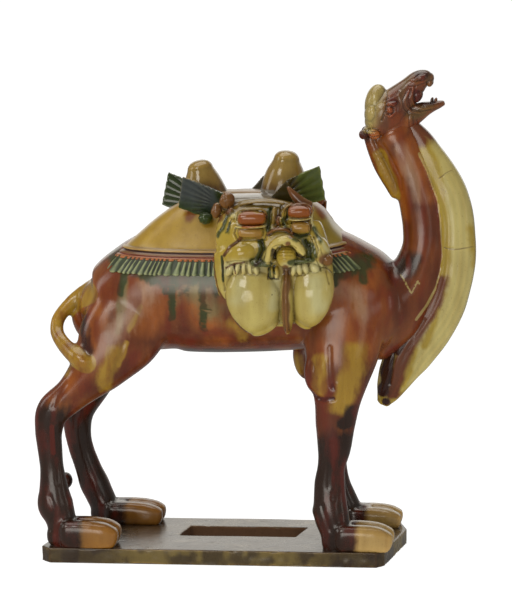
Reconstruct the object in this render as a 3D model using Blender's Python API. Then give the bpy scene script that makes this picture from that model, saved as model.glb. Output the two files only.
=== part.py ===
"""A sancai glazed camel on its plinth, one piece of fired earthenware.

Metres, +Z up. The camel looks along +X with its head thrown back, and its near side is at -Y.
Every form is a tapering sweep or an egg of clay. A voxel remesh unites them and smoothing melts
the joints, as slip does. A decimation leaves the flat faces of the solid, and the plinth is joined
on last, so that the underside stays one flat face.
"""

import math

import bmesh
import bpy
from mathutils import Matrix, Vector

# Driving sizes, in metres unless the name says otherwise
BODY_VOXEL = 0.0032
BODY_MELT_ROUNDS = 9
DETAIL_VOXEL = 0.0026
DETAIL_MELT_ROUNDS = 3
CAMEL_TRIANGLES = 9000
EGG_BANDS = 14
SWEEP_STEPS = 5
# The rounded end of a sweep: share of the dome's height, share of the section
DOME_SHARE = 0.7
DOME = [(0.42, 0.92), (0.80, 0.68), (1.0, 0.35)]

PLINTH_THICKNESS = 0.025
PLINTH_OUTLINE = [(-0.347, -0.103), (-0.331, -0.121), (0.216, -0.121), (0.229, -0.105),
                  (0.254, 0.062), (0.238, 0.123), (-0.300, 0.123), (-0.319, 0.104)]
SLOT_OUTLINE = [(-0.127, -0.011), (0.070, -0.011), (0.083, 0.061), (-0.118, 0.061)]
FOOT_SINK = 0.004

# Side-on sections: x, y, z, half thickness in the XZ plane, half width across
TORSO = [(-0.280, 0.0, 0.390, 0.034, 0.034), (-0.264, 0.0, 0.396, 0.060, 0.060),
         (-0.235, 0.0, 0.404, 0.080, 0.079), (-0.190, 0.0, 0.429, 0.094, 0.089),
         (-0.139, 0.0, 0.447, 0.105, 0.094), (-0.088, 0.0, 0.450, 0.110, 0.097),
         (-0.020, 0.0, 0.452, 0.112, 0.099), (0.047, 0.0, 0.453, 0.110, 0.099),
         (0.115, 0.0, 0.450, 0.103, 0.096), (0.178, 0.0, 0.437, 0.087, 0.088),
         (0.232, 0.0, 0.423, 0.064, 0.070), (0.268, 0.0, 0.432, 0.042, 0.046)]
NECK = [(0.195, 0.0, 0.408, 0.085, 0.068), (0.236, 0.0, 0.428, 0.070, 0.060),
        (0.270, 0.0, 0.463, 0.047, 0.046), (0.288, 0.0, 0.510, 0.037, 0.038),
        (0.291, 0.0, 0.547, 0.037, 0.034), (0.287, 0.0, 0.580, 0.037, 0.033),
        (0.279, 0.0, 0.613, 0.036, 0.033), (0.269, 0.0, 0.646, 0.035, 0.032),
        (0.256, 0.0, 0.676, 0.034, 0.032), (0.240, 0.0, 0.704, 0.036, 0.031)]
NEAR_HIND_LEG = [(-0.180, -0.045, 0.428, 0.070, 0.042), (-0.219, -0.062, 0.370, 0.068, 0.040),
                 (-0.250, -0.072, 0.325, 0.048, 0.034), (-0.290, -0.078, 0.283, 0.031, 0.026),
                 (-0.326, -0.082, 0.251, 0.028, 0.021), (-0.334, -0.084, 0.218, 0.0235, 0.0185),
                 (-0.333, -0.085, 0.190, 0.0215, 0.017), (-0.330, -0.086, 0.155, 0.0205, 0.017),
                 (-0.327, -0.087, 0.120, 0.0250, 0.020), (-0.325, -0.088, 0.093, 0.0310, 0.022),
                 (-0.317, -0.088, 0.070, 0.0260, 0.022), (-0.312, -0.088, 0.044, 0.0240, 0.025),
                 (-0.308, -0.088, 0.022, 0.0240, 0.025)]
FAR_HIND_LEG = [(-0.188, 0.045, 0.425, 0.070, 0.042), (-0.236, 0.062, 0.362, 0.055, 0.040),
                (-0.266, 0.074, 0.316, 0.044, 0.034), (-0.294, 0.080, 0.265, 0.036, 0.028),
                (-0.314, 0.084, 0.224, 0.029, 0.022), (-0.317, 0.086, 0.190, 0.0240, 0.018),
                (-0.312, 0.087, 0.155, 0.0220, 0.017), (-0.300, 0.087, 0.120, 0.0230, 0.018),
                (-0.291, 0.088, 0.094, 0.0260, 0.021), (-0.280, 0.088, 0.070, 0.0245, 0.022),
                (-0.270, 0.088, 0.046, 0.0240, 0.025), (-0.264, 0.088, 0.022, 0.0240, 0.025)]
NEAR_FRONT_LEG = [(0.165, -0.044, 0.455, 0.078, 0.040), (0.160, -0.060, 0.391, 0.070, 0.038),
                  (0.156, -0.072, 0.341, 0.060, 0.035), (0.153, -0.078, 0.300, 0.047, 0.030),
                  (0.150, -0.081, 0.264, 0.0375, 0.025), (0.147, -0.083, 0.232, 0.0330, 0.022),
                  (0.145, -0.084, 0.195, 0.0285, 0.021), (0.140, -0.085, 0.162, 0.0235, 0.018),
                  (0.137, -0.086, 0.135, 0.0265, 0.018), (0.137, -0.087, 0.106, 0.0280, 0.020),
                  (0.139, -0.088, 0.082, 0.0295, 0.022), (0.147, -0.088, 0.052, 0.0270, 0.024),
                  (0.151, -0.088, 0.022, 0.0270, 0.024)]
FAR_FRONT_LEG = [(0.160, 0.044, 0.440, 0.076, 0.040), (0.146, 0.060, 0.380, 0.066, 0.038),
                 (0.131, 0.074, 0.329, 0.051, 0.033), (0.122, 0.080, 0.277, 0.034, 0.026),
                 (0.126, 0.084, 0.225, 0.027, 0.021), (0.128, 0.085, 0.173, 0.024, 0.018),
                 (0.128, 0.086, 0.130, 0.0220, 0.018), (0.132, 0.087, 0.097, 0.0240, 0.021),
                 (0.143, 0.088, 0.068, 0.0245, 0.023), (0.152, 0.088, 0.044, 0.0260, 0.024),
                 (0.156, 0.088, 0.022, 0.0260, 0.024)]
BEARD = [(0.262, 0.0, 0.728, 0.0100, 0.012), (0.283, 0.0, 0.700, 0.0180, 0.018),
         (0.298, 0.0, 0.671, 0.0240, 0.022), (0.313, 0.0, 0.643, 0.0285, 0.024),
         (0.328, 0.0, 0.610, 0.0315, 0.026), (0.338, 0.0, 0.572, 0.0325, 0.027),
         (0.341, 0.0, 0.530, 0.0335, 0.028), (0.340, 0.0, 0.493, 0.0340, 0.028),
         (0.333, 0.0, 0.456, 0.0345, 0.028), (0.320, 0.0, 0.419, 0.0360, 0.027),
         (0.296, 0.0, 0.379, 0.0380, 0.025), (0.266, 0.0, 0.341, 0.0380, 0.022),
         (0.244, 0.0, 0.307, 0.0315, 0.019), (0.230, 0.0, 0.276, 0.0220, 0.014),
         (0.221, 0.0, 0.257, 0.0120, 0.009)]
MANE = [(0.199, 0.0, 0.712, 0.0120, 0.015), (0.208, 0.0, 0.684, 0.0135, 0.017),
        (0.220, 0.0, 0.655, 0.0145, 0.017), (0.233, 0.0, 0.630, 0.0135, 0.016),
        (0.244, 0.0, 0.607, 0.0110, 0.014)]
TAIL = [(-0.266, -0.004, 0.446, 0.018, 0.015), (-0.294, -0.010, 0.431, 0.0140, 0.012),
        (-0.313, -0.018, 0.414, 0.0120, 0.011), (-0.325, -0.028, 0.396, 0.0115, 0.011),
        (-0.325, -0.040, 0.378, 0.0120, 0.011), (-0.314, -0.057, 0.364, 0.0130, 0.011),
        (-0.297, -0.078, 0.352, 0.0145, 0.012), (-0.279, -0.096, 0.342, 0.0145, 0.012),
        (-0.265, -0.102, 0.336, 0.0100, 0.009)]
SKULL = [(0.214, 0.0, 0.722, 0.033, 0.030), (0.231, 0.0, 0.742, 0.036, 0.031),
         (0.250, 0.0, 0.764, 0.028, 0.025), (0.267, 0.0, 0.781, 0.0215, 0.020),
         (0.281, 0.0, 0.793, 0.0185, 0.019), (0.294, 0.0, 0.798, 0.0155, 0.017),
         (0.303, 0.0, 0.797, 0.0110, 0.013)]
JAW = [(0.236, 0.0, 0.722, 0.026, 0.026), (0.257, 0.0, 0.731, 0.0220, 0.022),
       (0.276, 0.0, 0.740, 0.0165, 0.018), (0.290, 0.0, 0.747, 0.0130, 0.015),
       (0.303, 0.0, 0.752, 0.0095, 0.013), (0.314, 0.0, 0.755, 0.0075, 0.011),
       (0.321, 0.0, 0.757, 0.0050, 0.007)]

# The saddle cloth, ring by ring from the top: z, centre x, half length, half width
CLOTH = [(0.612, -0.008, 0.056, 0.020), (0.608, -0.008, 0.078, 0.030),
         (0.597, -0.008, 0.102, 0.040), (0.577, -0.010, 0.131, 0.053),
         (0.550, -0.014, 0.155, 0.068), (0.527, -0.015, 0.177, 0.081),
         (0.515, -0.015, 0.190, 0.088)]
FRINGE = [(0.517, -0.014, 0.189, 0.084), (0.515, -0.014, 0.197, 0.092),
          (0.500, -0.012, 0.212, 0.098), (0.486, -0.010, 0.223, 0.101),
          (0.484, -0.010, 0.212, 0.088)]
CLOTH_END_LIFT = 0.014
CLOTH_LIFT_DEPTH = 0.08
CLOTH_SQUARENESS = 2.5
CLOTH_SIDES = 64

# The saddle board's outline on one side: x, z; it leans outward as it rises
BOARD_OUTLINE = [(-0.104, 0.643), (-0.039, 0.614), (-0.015, 0.601), (0.035, 0.601),
                 (0.070, 0.638), (0.123, 0.662), (0.131, 0.604), (0.099, 0.596),
                 (0.030, 0.586), (-0.030, 0.584), (-0.060, 0.580), (-0.081, 0.576),
                 (-0.114, 0.590)]
BOARD_Y = 0.051
BOARD_FOOT_Z = 0.590
BOARD_LEAN = 0.32
BOARD_THICKNESS = 0.0085
FAR_BOARD = (0.94, -0.050, -0.007)

# The mask bag from its mouth down: x, distance out, z, half length, half depth
BAG = [(0.040, 0.078, 0.590, 0.058, 0.022), (0.039, 0.086, 0.576, 0.074, 0.031),
       (0.036, 0.092, 0.556, 0.081, 0.037), (0.041, 0.097, 0.534, 0.091, 0.041),
       (0.048, 0.102, 0.487, 0.099, 0.043), (0.053, 0.103, 0.443, 0.091, 0.042),
       (0.049, 0.100, 0.410, 0.069, 0.035), (0.040, 0.096, 0.389, 0.040, 0.022)]

FAR_BAG_DROP = 0.016

# Each foot: heel x, toe x, middle y, height of the toes above the plinth's underside
NEAR_HIND_FOOT = (-0.340, -0.218, -0.090, 0.069)
FAR_HIND_FOOT = (-0.298, -0.169, 0.090, 0.0625)
NEAR_FRONT_FOOT = (0.122, 0.241, -0.088, 0.068)
FAR_FRONT_FOOT = (0.128, 0.243, 0.090, 0.0585)
TOE_SPREAD = 0.0155
# Along a toe: share of the foot's length, share of its height, half width
TOE_SHAPE = [(0.30, 1.00, 0.0165), (0.60, 1.00, 0.0175), (0.80, 0.92, 0.0175), (0.94, 0.74, 0.0150)]
# The pad behind the toes: share of the foot's length, z, half thickness, half width
HEEL_PAD = [(0.10, 0.040, 0.017, 0.021), (0.45, 0.042, 0.020, 0.028)]

# Rounded lumps: centre, radii and tilt in degrees; a pair has a twin on the far side
PAIRED_MUSCLES = [((-0.222, -0.040, 0.408), (0.054, 0.048, 0.068), 30),
                  ((-0.176, -0.050, 0.376), (0.048, 0.036, 0.032), -28),
                  ((0.198, -0.040, 0.412), (0.056, 0.044, 0.074), 15)]
BREAST_AND_ELBOWS = [((0.246, 0.0, 0.416), (0.044, 0.048, 0.050), 0),
                     ((0.118, -0.080, 0.320), (0.024, 0.020, 0.038), 0),
                     ((0.085, 0.078, 0.322), (0.026, 0.022, 0.044), 0)]
TOPKNOT = ((0.207, 0.0, 0.752), (0.019, 0.021, 0.038), 6)
BROWS_EYES_CHEEKS_NOSTRILS_EARS = [((0.240, -0.024, 0.757), (0.014, 0.008, 0.008), -38),
                                   ((0.236, -0.026, 0.749), (0.008, 0.006, 0.008), 0),
                                   ((0.238, -0.022, 0.728), (0.018, 0.010, 0.014), -35),
                                   ((0.288, -0.012, 0.800), (0.008, 0.007, 0.007), -20),
                                   ((0.194, -0.029, 0.707), (0.014, 0.008, 0.009), 18)]

# Humps and seat: x, y, z, half thickness, half width
REAR_HUMP = [(-0.070, 0.0, 0.585, 0.040, 0.040), (-0.079, 0.0, 0.627, 0.031, 0.033),
             (-0.084, 0.0, 0.640, 0.0265, 0.029), (-0.084, 0.0, 0.652, 0.018, 0.020)]
FRONT_HUMP = [(0.053, 0.0, 0.590, 0.042, 0.040), (0.057, 0.0, 0.630, 0.0345, 0.036),
              (0.059, 0.0, 0.652, 0.028, 0.030), (0.061, 0.0, 0.667, 0.018, 0.020)]
SEAT = [(-0.040, 0.0, 0.595, 0.014, 0.074), (0.005, 0.0, 0.597, 0.014, 0.080),
        (0.050, 0.0, 0.595, 0.014, 0.074)]
BOARD_FOOT_LUMP = (-0.060, 0.062, 0.580)
BOARD_FOOT_RADII = (0.014, 0.012, 0.011)

# Lumps of the mask bag: centre with its distance out, radii and tilt
BAG_LUMPS = [((0.014, 0.114, 0.447), (0.049, 0.038, 0.062), 0),
             ((0.116, 0.112, 0.457), (0.037, 0.036, 0.052), 0),
             ((0.073, 0.122, 0.448), (0.026, 0.024, 0.055), 0),
             ((0.000, 0.117, 0.522), (0.030, 0.026, 0.022), -20),
             ((0.127, 0.116, 0.522), (0.021, 0.024, 0.025), 0),
             ((0.073, 0.140, 0.524), (0.024, 0.018, 0.018), 0),
             ((0.024, 0.140, 0.511), (0.015, 0.008, 0.007), 12),
             ((0.102, 0.140, 0.511), (0.015, 0.008, 0.006), -8),
             ((0.070, 0.142, 0.494), (0.034, 0.012, 0.010), 0),
             ((-0.026, 0.092, 0.603), (0.013, 0.011, 0.014), 15),
             ((-0.044, 0.088, 0.588), (0.009, 0.009, 0.013), 10)]
# Each eye of the mask: x, z, half length, tilt
BAG_EYES = [(0.018, 0.584, 0.022, -4), (0.089, 0.590, 0.020, 6)]
EYEBALL = (0.122, 0.015, 0.013)
LOWER_LID = (0.128, 0.012, 0.010)
LOWER_LID_SHIFT = (0.003, -0.022)
LOWER_LID_SHARE = 0.85
# The rim over an eye: share of the half length, distance out, rise, half thickness, half width
EYE_RIM = [(-1.05, 0.112, 0.002, 0.004, 0.006), (-0.5, 0.118, 0.015, 0.005, 0.007),
           (0.5, 0.118, 0.015, 0.005, 0.007), (1.05, 0.112, 0.002, 0.004, 0.006)]
SNOUT = [(0.033, 0.138, 0.512, 0.007, 0.007), (0.044, 0.144, 0.536, 0.009, 0.009),
         (0.073, 0.148, 0.549, 0.010, 0.010), (0.099, 0.144, 0.538, 0.009, 0.009),
         (0.106, 0.138, 0.517, 0.007, 0.007)]
HORN = [(0.108, 0.100, 0.594, 0.010, 0.008), (0.097, 0.101, 0.610, 0.008, 0.007),
        (0.084, 0.101, 0.625, 0.004, 0.004)]

# The plan box of the figure is centred here before the last shift to the origin
BOX_CENTRE_X = 0.009

GLAZE_COLOUR = (0.26, 0.14, 0.045, 1.0)
GLAZE_ROUGHNESS = 0.2
CREASE_ANGLE = 35.0


def remove_everything() -> None:
    """Empty the file of the objects it starts with."""
    for stray in list(bpy.data.objects):
        bpy.data.objects.remove(stray, do_unlink=True)


def blend_rows(rows: list[tuple[float, ...]], steps: int) -> list[tuple[float, ...]]:
    """Run a smooth curve through rows of numbers, with some rows between each two."""
    smooth = []
    last = len(rows) - 1
    for index in range(last):
        before, start, end, after = (rows[max(index - 1, 0)], rows[index], rows[index + 1],
                                     rows[min(index + 2, last)])
        for step in range(steps):
            t = step / steps
            smooth.append(tuple(
                b + 0.5 * t * (c - a + t * (2 * a - 5 * b + 4 * c - d + t * (3 * (b - c) + d - a)))
                for a, b, c, d in zip(before, start, end, after)))
    smooth.append(rows[last])
    return smooth


def super_round(angle: float, square: float) -> tuple[float, float]:
    """Give a point of a unit ring, round at square 2 and boxier above it."""
    c, s = math.cos(angle), math.sin(angle)
    power = 2.0 / square
    return math.copysign(abs(c) ** power, c), math.copysign(abs(s) ** power, s)


class Clay:
    """Closed lumps of clay that a voxel remesh will unite."""

    def __init__(self) -> None:
        self.mesh = bmesh.new()

    def rings(self, rings: list[list[Vector]]) -> None:
        """Skin rings of equal length in order, close both ends and face the skin outward."""
        rows = [[self.mesh.verts.new(point) for point in ring] for ring in rings]
        count = len(rows[0])
        skin = []
        for first, second in zip(rows, rows[1:]):
            for i in range(count):
                j = (i + 1) % count
                skin.append(self.mesh.faces.new((first[i], first[j], second[j], second[i])))
        for row, turn in ((rows[0], True), (rows[-1], False)):
            middle = self.mesh.verts.new(sum((v.co for v in row), Vector()) / count)
            for i in range(count):
                j = (i + 1) % count
                corners = (row[j], row[i], middle) if turn else (row[i], row[j], middle)
                skin.append(self.mesh.faces.new(corners))
        volume = 0.0
        for face in skin:
            first, *others = [corner.co for corner in face.verts]
            volume += sum(first.dot(a.cross(b)) for a, b in zip(others, others[1:]))
        if volume < 0:
            for face in skin:
                face.normal_flip()

    def sweep(self, rows: list[tuple[float, ...]], square: float = 2.0, sides: int = 28) -> None:
        """Sweep a rounded section along rows of x, y, z, half thickness and half width.

        The width lies across the figure, and the ends are domed.
        """
        smooth = blend_rows(rows, SWEEP_STEPS)
        points = [Vector(row[:3]) for row in smooth]
        rings = []
        last = len(smooth) - 1
        for index, row in enumerate(smooth):
            ahead = (points[min(index + 1, last)] - points[max(index - 1, 0)]).normalized()
            side = Vector((0.0, 1.0, 0.0))
            side = (side - ahead * side.dot(ahead)).normalized()
            normal = side.cross(ahead)
            insets = [(0.0, 1.0)]
            dome = min(row[3], row[4]) * DOME_SHARE
            if index == 0:
                insets = [(-dome * along, scale) for along, scale in reversed(DOME)] + insets
            if index == last:
                insets += [(dome * along, scale) for along, scale in DOME]
            for shift, scale in insets:
                ring = []
                for k in range(sides):
                    c, s = super_round(2 * math.pi * k / sides, square)
                    ring.append(points[index] + ahead * shift + normal * (c * row[3] * scale)
                                + side * (s * row[4] * scale))
                rings.append(ring)
        self.rings(rings)

    def egg(self, centre: tuple[float, float, float], radii: tuple[float, float, float],
            tilt: float = 0.0) -> None:
        """Add an ellipsoid, tilted by degrees about the Y direction."""
        place = Matrix.Translation(centre) @ Matrix.Rotation(math.radians(tilt), 4, "Y")
        shape = place @ Matrix.Diagonal((*radii, 1.0))
        around = [math.pi * k / EGG_BANDS for k in range(2 * EGG_BANDS)]
        rings = []
        for step in range(1, EGG_BANDS):
            height = math.pi * step / EGG_BANDS
            rings.append([shape @ Vector((math.sin(height) * math.cos(a),
                                          math.sin(height) * math.sin(a), -math.cos(height)))
                          for a in around])
        self.rings(rings)

    def pair(self, centre: tuple[float, float, float], radii: tuple[float, float, float],
             tilt: float = 0.0) -> None:
        """Add an egg and its twin on the far side."""
        x, y, z = centre
        self.egg((x, y, z), radii, tilt)
        self.egg((x, -y, z), radii, tilt)

    def fuse(self, name: str, voxel: float, melt_rounds: int,
             core: bpy.types.Object | None = None) -> bpy.types.Object:
        """Unite the lumps, and a finished core if there is one, in one skin and melt its creases."""
        if core is not None:
            self.mesh.from_mesh(core.data)
            bpy.data.objects.remove(core, do_unlink=True)
        mesh = bpy.data.meshes.new(name)
        self.mesh.to_mesh(mesh)
        self.mesh.free()
        fused = bpy.data.objects.new(name, mesh)
        bpy.context.scene.collection.objects.link(fused)
        remesh = fused.modifiers.new("unite", "REMESH")
        remesh.mode = "VOXEL"
        remesh.voxel_size = voxel
        melt = fused.modifiers.new("melt", "SMOOTH")
        melt.factor = 0.5
        melt.iterations = melt_rounds
        settle(fused)
        keep_outer_skin(fused)
        return fused


def settle(item: bpy.types.Object) -> bpy.types.Object:
    """Replace an object's mesh by the result of its modifiers."""
    graph = bpy.context.evaluated_depsgraph_get()
    result = bpy.data.meshes.new_from_object(item.evaluated_get(graph))
    item.modifiers.clear()
    item.data = result
    return item


def keep_outer_skin(item: bpy.types.Object) -> None:
    """Fill the hollows left between lumps: keep only the largest connected skin."""
    skin = bmesh.new()
    skin.from_mesh(item.data)
    unseen = set(skin.verts)
    islands = []
    while unseen:
        stack = [unseen.pop()]
        island = []
        while stack:
            vertex = stack.pop()
            island.append(vertex)
            for edge in vertex.link_edges:
                other = edge.other_vert(vertex)
                if other in unseen:
                    unseen.remove(other)
                    stack.append(other)
        islands.append(island)
    islands.sort(key=len)
    for island in islands[:-1]:
        for vertex in island:
            skin.verts.remove(vertex)
    skin.to_mesh(item.data)
    skin.free()


def plan_ring(z: float, centre_x: float, half_length: float, half_width: float,
              lift: float) -> list[Vector]:
    """Give a level ring of the saddle cloth, its two ends raised by lift."""
    ring = []
    for k in range(CLOTH_SIDES):
        c, s = super_round(2 * math.pi * k / CLOTH_SIDES, CLOTH_SQUARENESS)
        ring.append(Vector((centre_x + half_length * c, half_width * s, z + lift * abs(c) ** 3)))
    return ring


def base_body() -> bpy.types.Object:
    """Model the bare camel: torso, neck, legs, tail and its larger muscles."""
    clay = Clay()
    clay.sweep(TORSO, square=2.2)
    clay.sweep(NECK)
    for leg in (NEAR_HIND_LEG, FAR_HIND_LEG, NEAR_FRONT_LEG, FAR_FRONT_LEG):
        clay.sweep(leg, square=2.1)
    clay.sweep(TAIL, sides=20)
    for lump in PAIRED_MUSCLES:
        clay.pair(*lump)
    for lump in BREAST_AND_ELBOWS:
        clay.egg(*lump)
    return clay.fuse("body", BODY_VOXEL, BODY_MELT_ROUNDS)


def add_head(clay: Clay) -> None:
    """Add the skull, the open jaws, the ears, the topknot and the mane."""
    clay.sweep(SKULL, square=2.2)
    clay.sweep(JAW, square=2.2)
    clay.egg(*TOPKNOT)
    for lump in BROWS_EYES_CHEEKS_NOSTRILS_EARS:
        clay.pair(*lump)
    clay.sweep(MANE, square=2.4)
    clay.sweep(BEARD, square=2.3)


def add_foot(clay: Clay, heel_x: float, toe_x: float, y: float, top_z: float) -> None:
    """Add a broad foot of two blunt toes with a pad behind them."""
    length = toe_x - heel_x
    low = PLINTH_THICKNESS - FOOT_SINK
    half = (top_z - low) / 2
    for side in (-1, 1):
        middle = y + side * TOE_SPREAD
        clay.sweep([(heel_x + length * at, middle, low + half * share, half * share, width)
                    for at, share, width in TOE_SHAPE], square=2.9)
    clay.sweep([(heel_x + length * at, y, z, thick, width) for at, z, thick, width in HEEL_PAD],
               square=2.6)


def add_cloth(clay: Clay) -> None:
    """Add the saddle cloth over the back, with its hanging fringe."""
    top = CLOTH[0][0]
    clay.rings([plan_ring(z, x, a, b, CLOTH_END_LIFT * min(1.0, (top - z) / CLOTH_LIFT_DEPTH))
                for z, x, a, b in CLOTH])
    clay.rings([plan_ring(z, x, a, b, CLOTH_END_LIFT) for z, x, a, b in FRINGE])


def board_rings(side: int) -> list[list[Vector]]:
    """Give the two faces of the pack board on one side, leaning outward as it rises."""
    scale, shift, rise = FAR_BOARD if side > 0 else (1.0, 0.0, 0.0)
    faces = []
    for depth in (-BOARD_THICKNESS / 2, BOARD_THICKNESS / 2):
        faces.append([Vector((x * scale + shift,
                              side * (BOARD_Y + (z - BOARD_FOOT_Z) * BOARD_LEAN + depth), z + rise))
                      for x, z in BOARD_OUTLINE])
    return faces


def add_saddle(clay: Clay) -> None:
    """Add the two humps, the seat between them and the pack boards with their flared ends."""
    clay.sweep(REAR_HUMP)
    clay.sweep(FRONT_HUMP)
    clay.sweep(SEAT, square=3.4)
    for side in (-1, 1):
        clay.rings(board_rings(side))
        scale, shift, _ = FAR_BOARD if side > 0 else (1.0, 0.0, 0.0)
        x, y, z = BOARD_FOOT_LUMP
        clay.egg((x * scale + shift, side * y, z), BOARD_FOOT_RADII)


def add_bag(clay: Clay, side: int, drop: float) -> None:
    """Add a monster-mask bag on one flank: side is -1 for the near one, drop lowers it."""

    def row(x: float, out: float, z: float, *sizes: float) -> tuple[float, ...]:
        """Place a station at its distance out from the middle plane."""
        return x, side * out, z - drop, *sizes

    clay.sweep([row(*station) for station in BAG], square=2.4, sides=40)
    for centre, radii, tilt in BAG_LUMPS:
        clay.egg(row(*centre), radii, tilt)
    for x, z, half, tilt in BAG_EYES:
        out, deep, tall = EYEBALL
        clay.egg(row(x, out, z), (half, deep, tall), tilt)
        out, deep, tall = LOWER_LID
        along, down = LOWER_LID_SHIFT
        clay.egg(row(x + along, out, z + down), (half * LOWER_LID_SHARE, deep, tall), tilt)
        clay.sweep([row(x + half * share, out, z + rise, thick, wide)
                    for share, out, rise, thick, wide in EYE_RIM])
    clay.sweep([row(*station) for station in SNOUT])
    clay.sweep([row(*station) for station in HORN])


def finished_camel() -> bpy.types.Object:
    """Join the details to the bare camel and thin the mesh to its final count."""
    body = base_body()
    clay = Clay()
    add_head(clay)
    for foot in (NEAR_HIND_FOOT, FAR_HIND_FOOT, NEAR_FRONT_FOOT, FAR_FRONT_FOOT):
        add_foot(clay, *foot)
    add_cloth(clay)
    add_saddle(clay)
    add_bag(clay, -1, 0.0)
    add_bag(clay, 1, FAR_BAG_DROP)
    camel = clay.fuse("camel", DETAIL_VOXEL, DETAIL_MELT_ROUNDS, body)
    thin = camel.modifiers.new("thin", "DECIMATE")
    thin.ratio = CAMEL_TRIANGLES / (2 * len(camel.data.polygons))
    return settle(camel)


def plinth() -> bpy.types.Object:
    """Build the flat plinth with its clipped corners and the slot cut through it."""
    shape = bmesh.new()
    outer = [shape.verts.new((x, y, 0.0)) for x, y in PLINTH_OUTLINE]
    inner = [shape.verts.new((x, y, 0.0)) for x, y in SLOT_OUTLINE]
    edges = [shape.edges.new((ring[i], ring[(i + 1) % len(ring)]))
             for ring in (outer, inner) for i in range(len(ring))]
    bmesh.ops.triangle_fill(shape, edges=edges, use_beauty=True)
    raised = bmesh.ops.extrude_face_region(shape, geom=list(shape.faces))
    lifted = [item for item in raised["geom"] if isinstance(item, bmesh.types.BMVert)]
    bmesh.ops.translate(shape, verts=lifted, vec=(0.0, 0.0, PLINTH_THICKNESS))
    bmesh.ops.recalc_face_normals(shape, faces=shape.faces)
    mesh = bpy.data.meshes.new("camel_figure")
    shape.to_mesh(mesh)
    shape.free()
    base = bpy.data.objects.new("camel_figure", mesh)
    bpy.context.scene.collection.objects.link(base)
    return base


def glaze() -> bpy.types.Material:
    """Make the amber lead glaze of the figure."""
    finish = bpy.data.materials.new("sancai_glaze")
    finish.use_nodes = True
    shader = finish.node_tree.nodes["Principled BSDF"]
    shader.inputs["Base Color"].default_value = GLAZE_COLOUR
    shader.inputs["Roughness"].default_value = GLAZE_ROUGHNESS
    shader.inputs["Metallic"].default_value = 0.0
    return finish


def main() -> None:
    """Build the whole figure as one solid, centred on the origin."""
    remove_everything()
    camel = finished_camel()
    figure = plinth()
    union = figure.modifiers.new("lute", "BOOLEAN")
    union.operation = "UNION"
    union.solver = "EXACT"
    union.object = camel
    settle(figure)
    keep_outer_skin(figure)
    bpy.data.objects.remove(camel, do_unlink=True)
    figure.data.transform(Matrix.Translation((-BOX_CENTRE_X, 0.0, 0.0)))
    figure.data.materials.clear()
    figure.data.materials.append(glaze())
    figure.data.shade_smooth()
    figure.data.set_sharp_from_angle(angle=math.radians(CREASE_ANGLE))


main()
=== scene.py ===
"""The dressed model of a sancai glazed camel that stands on a pierced plinth.

Every form is worked in metres in the modelling frame, with the camel facing +X and its near side
at -Y, and is then moved by MODEL_SHIFT to the frame of the solid. Clay lumps are united by a voxel
remesh, as slip unites them, and their fine carving is pressed in point by point. Glaze is laid as
brush strokes whose edges the materials make run; a few strokes and fields paint sheen, highlights
and shadow into the colour.
"""

from __future__ import annotations

import logging
import math
from dataclasses import dataclass
from enum import Enum

import bmesh
import bpy
import numpy as np
from mathutils import Matrix, Vector


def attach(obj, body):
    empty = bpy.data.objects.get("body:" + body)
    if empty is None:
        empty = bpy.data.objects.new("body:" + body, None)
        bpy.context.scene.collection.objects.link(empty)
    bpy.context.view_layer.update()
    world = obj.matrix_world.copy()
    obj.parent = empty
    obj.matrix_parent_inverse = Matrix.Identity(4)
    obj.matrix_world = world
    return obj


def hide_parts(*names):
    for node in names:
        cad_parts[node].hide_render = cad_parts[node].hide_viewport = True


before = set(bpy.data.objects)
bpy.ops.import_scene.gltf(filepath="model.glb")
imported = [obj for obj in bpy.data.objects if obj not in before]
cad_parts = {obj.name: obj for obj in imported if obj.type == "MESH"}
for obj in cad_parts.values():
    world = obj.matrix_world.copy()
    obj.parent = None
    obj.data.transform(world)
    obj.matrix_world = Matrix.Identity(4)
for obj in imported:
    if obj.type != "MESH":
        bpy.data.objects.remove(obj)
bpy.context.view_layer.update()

LOG = logging.getLogger("camel")
NODE = "camel_figure"
MODEL_SHIFT = -0.009
PLINTH_TOP = 0.025

Row = tuple[float, ...]
Path = tuple[tuple[float, float], ...]
Colour = tuple[float, float, float]


class Side(Enum):
    """The flank that a stroke or a groove is on."""

    NEAR = -1
    FAR = 1
    BOTH = 0


def glaze_rgb(red: int, green: int, blue: int) -> Colour:
    """Turn a colour of 0 to 255 a channel into the renderer's linear one.

    Args:
        red: Red as seen on a screen.
        green: Green as seen on a screen.
        blue: Blue as seen on a screen.

    Returns:
        The linear red, green and blue.
    """
    linear = []
    for value in (red, green, blue):
        share = value / 255
        linear.append(share / 12.92 if share <= 0.04045 else ((share + 0.055) / 1.055) ** 2.4)
    return linear[0], linear[1], linear[2]


def blend_rows(rows: tuple[Row, ...], steps: int) -> np.ndarray:
    """Run a smooth curve through rows of numbers.

    Args:
        rows: The rows that the curve passes.
        steps: How many rows each stretch gets.

    Returns:
        The rows of the curve, the last one included.
    """
    given = np.array(rows, float)
    last = len(given) - 1
    smooth = []
    for index in range(last):
        a, b = given[max(index - 1, 0)], given[index]
        c, d = given[index + 1], given[min(index + 2, last)]
        for step in range(steps):
            t = step / steps
            smooth.append(b + 0.5 * t * (c - a + t * (2 * a - 5 * b + 4 * c - d
                                                      + t * (3 * (b - c) + d - a))))
    smooth.append(given[last])
    return np.array(smooth)


def boxy_ring(angles: np.ndarray, square: float) -> tuple[np.ndarray, np.ndarray]:
    """Give a unit ring, round at square 2 and boxier above it.

    Args:
        angles: The angles of its points.
        square: How boxy it is.

    Returns:
        The two coordinates of each point.
    """
    c, s = np.cos(angles), np.sin(angles)
    power = 2.0 / square
    return np.sign(c) * np.abs(c) ** power, np.sign(s) * np.abs(s) ** power


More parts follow.
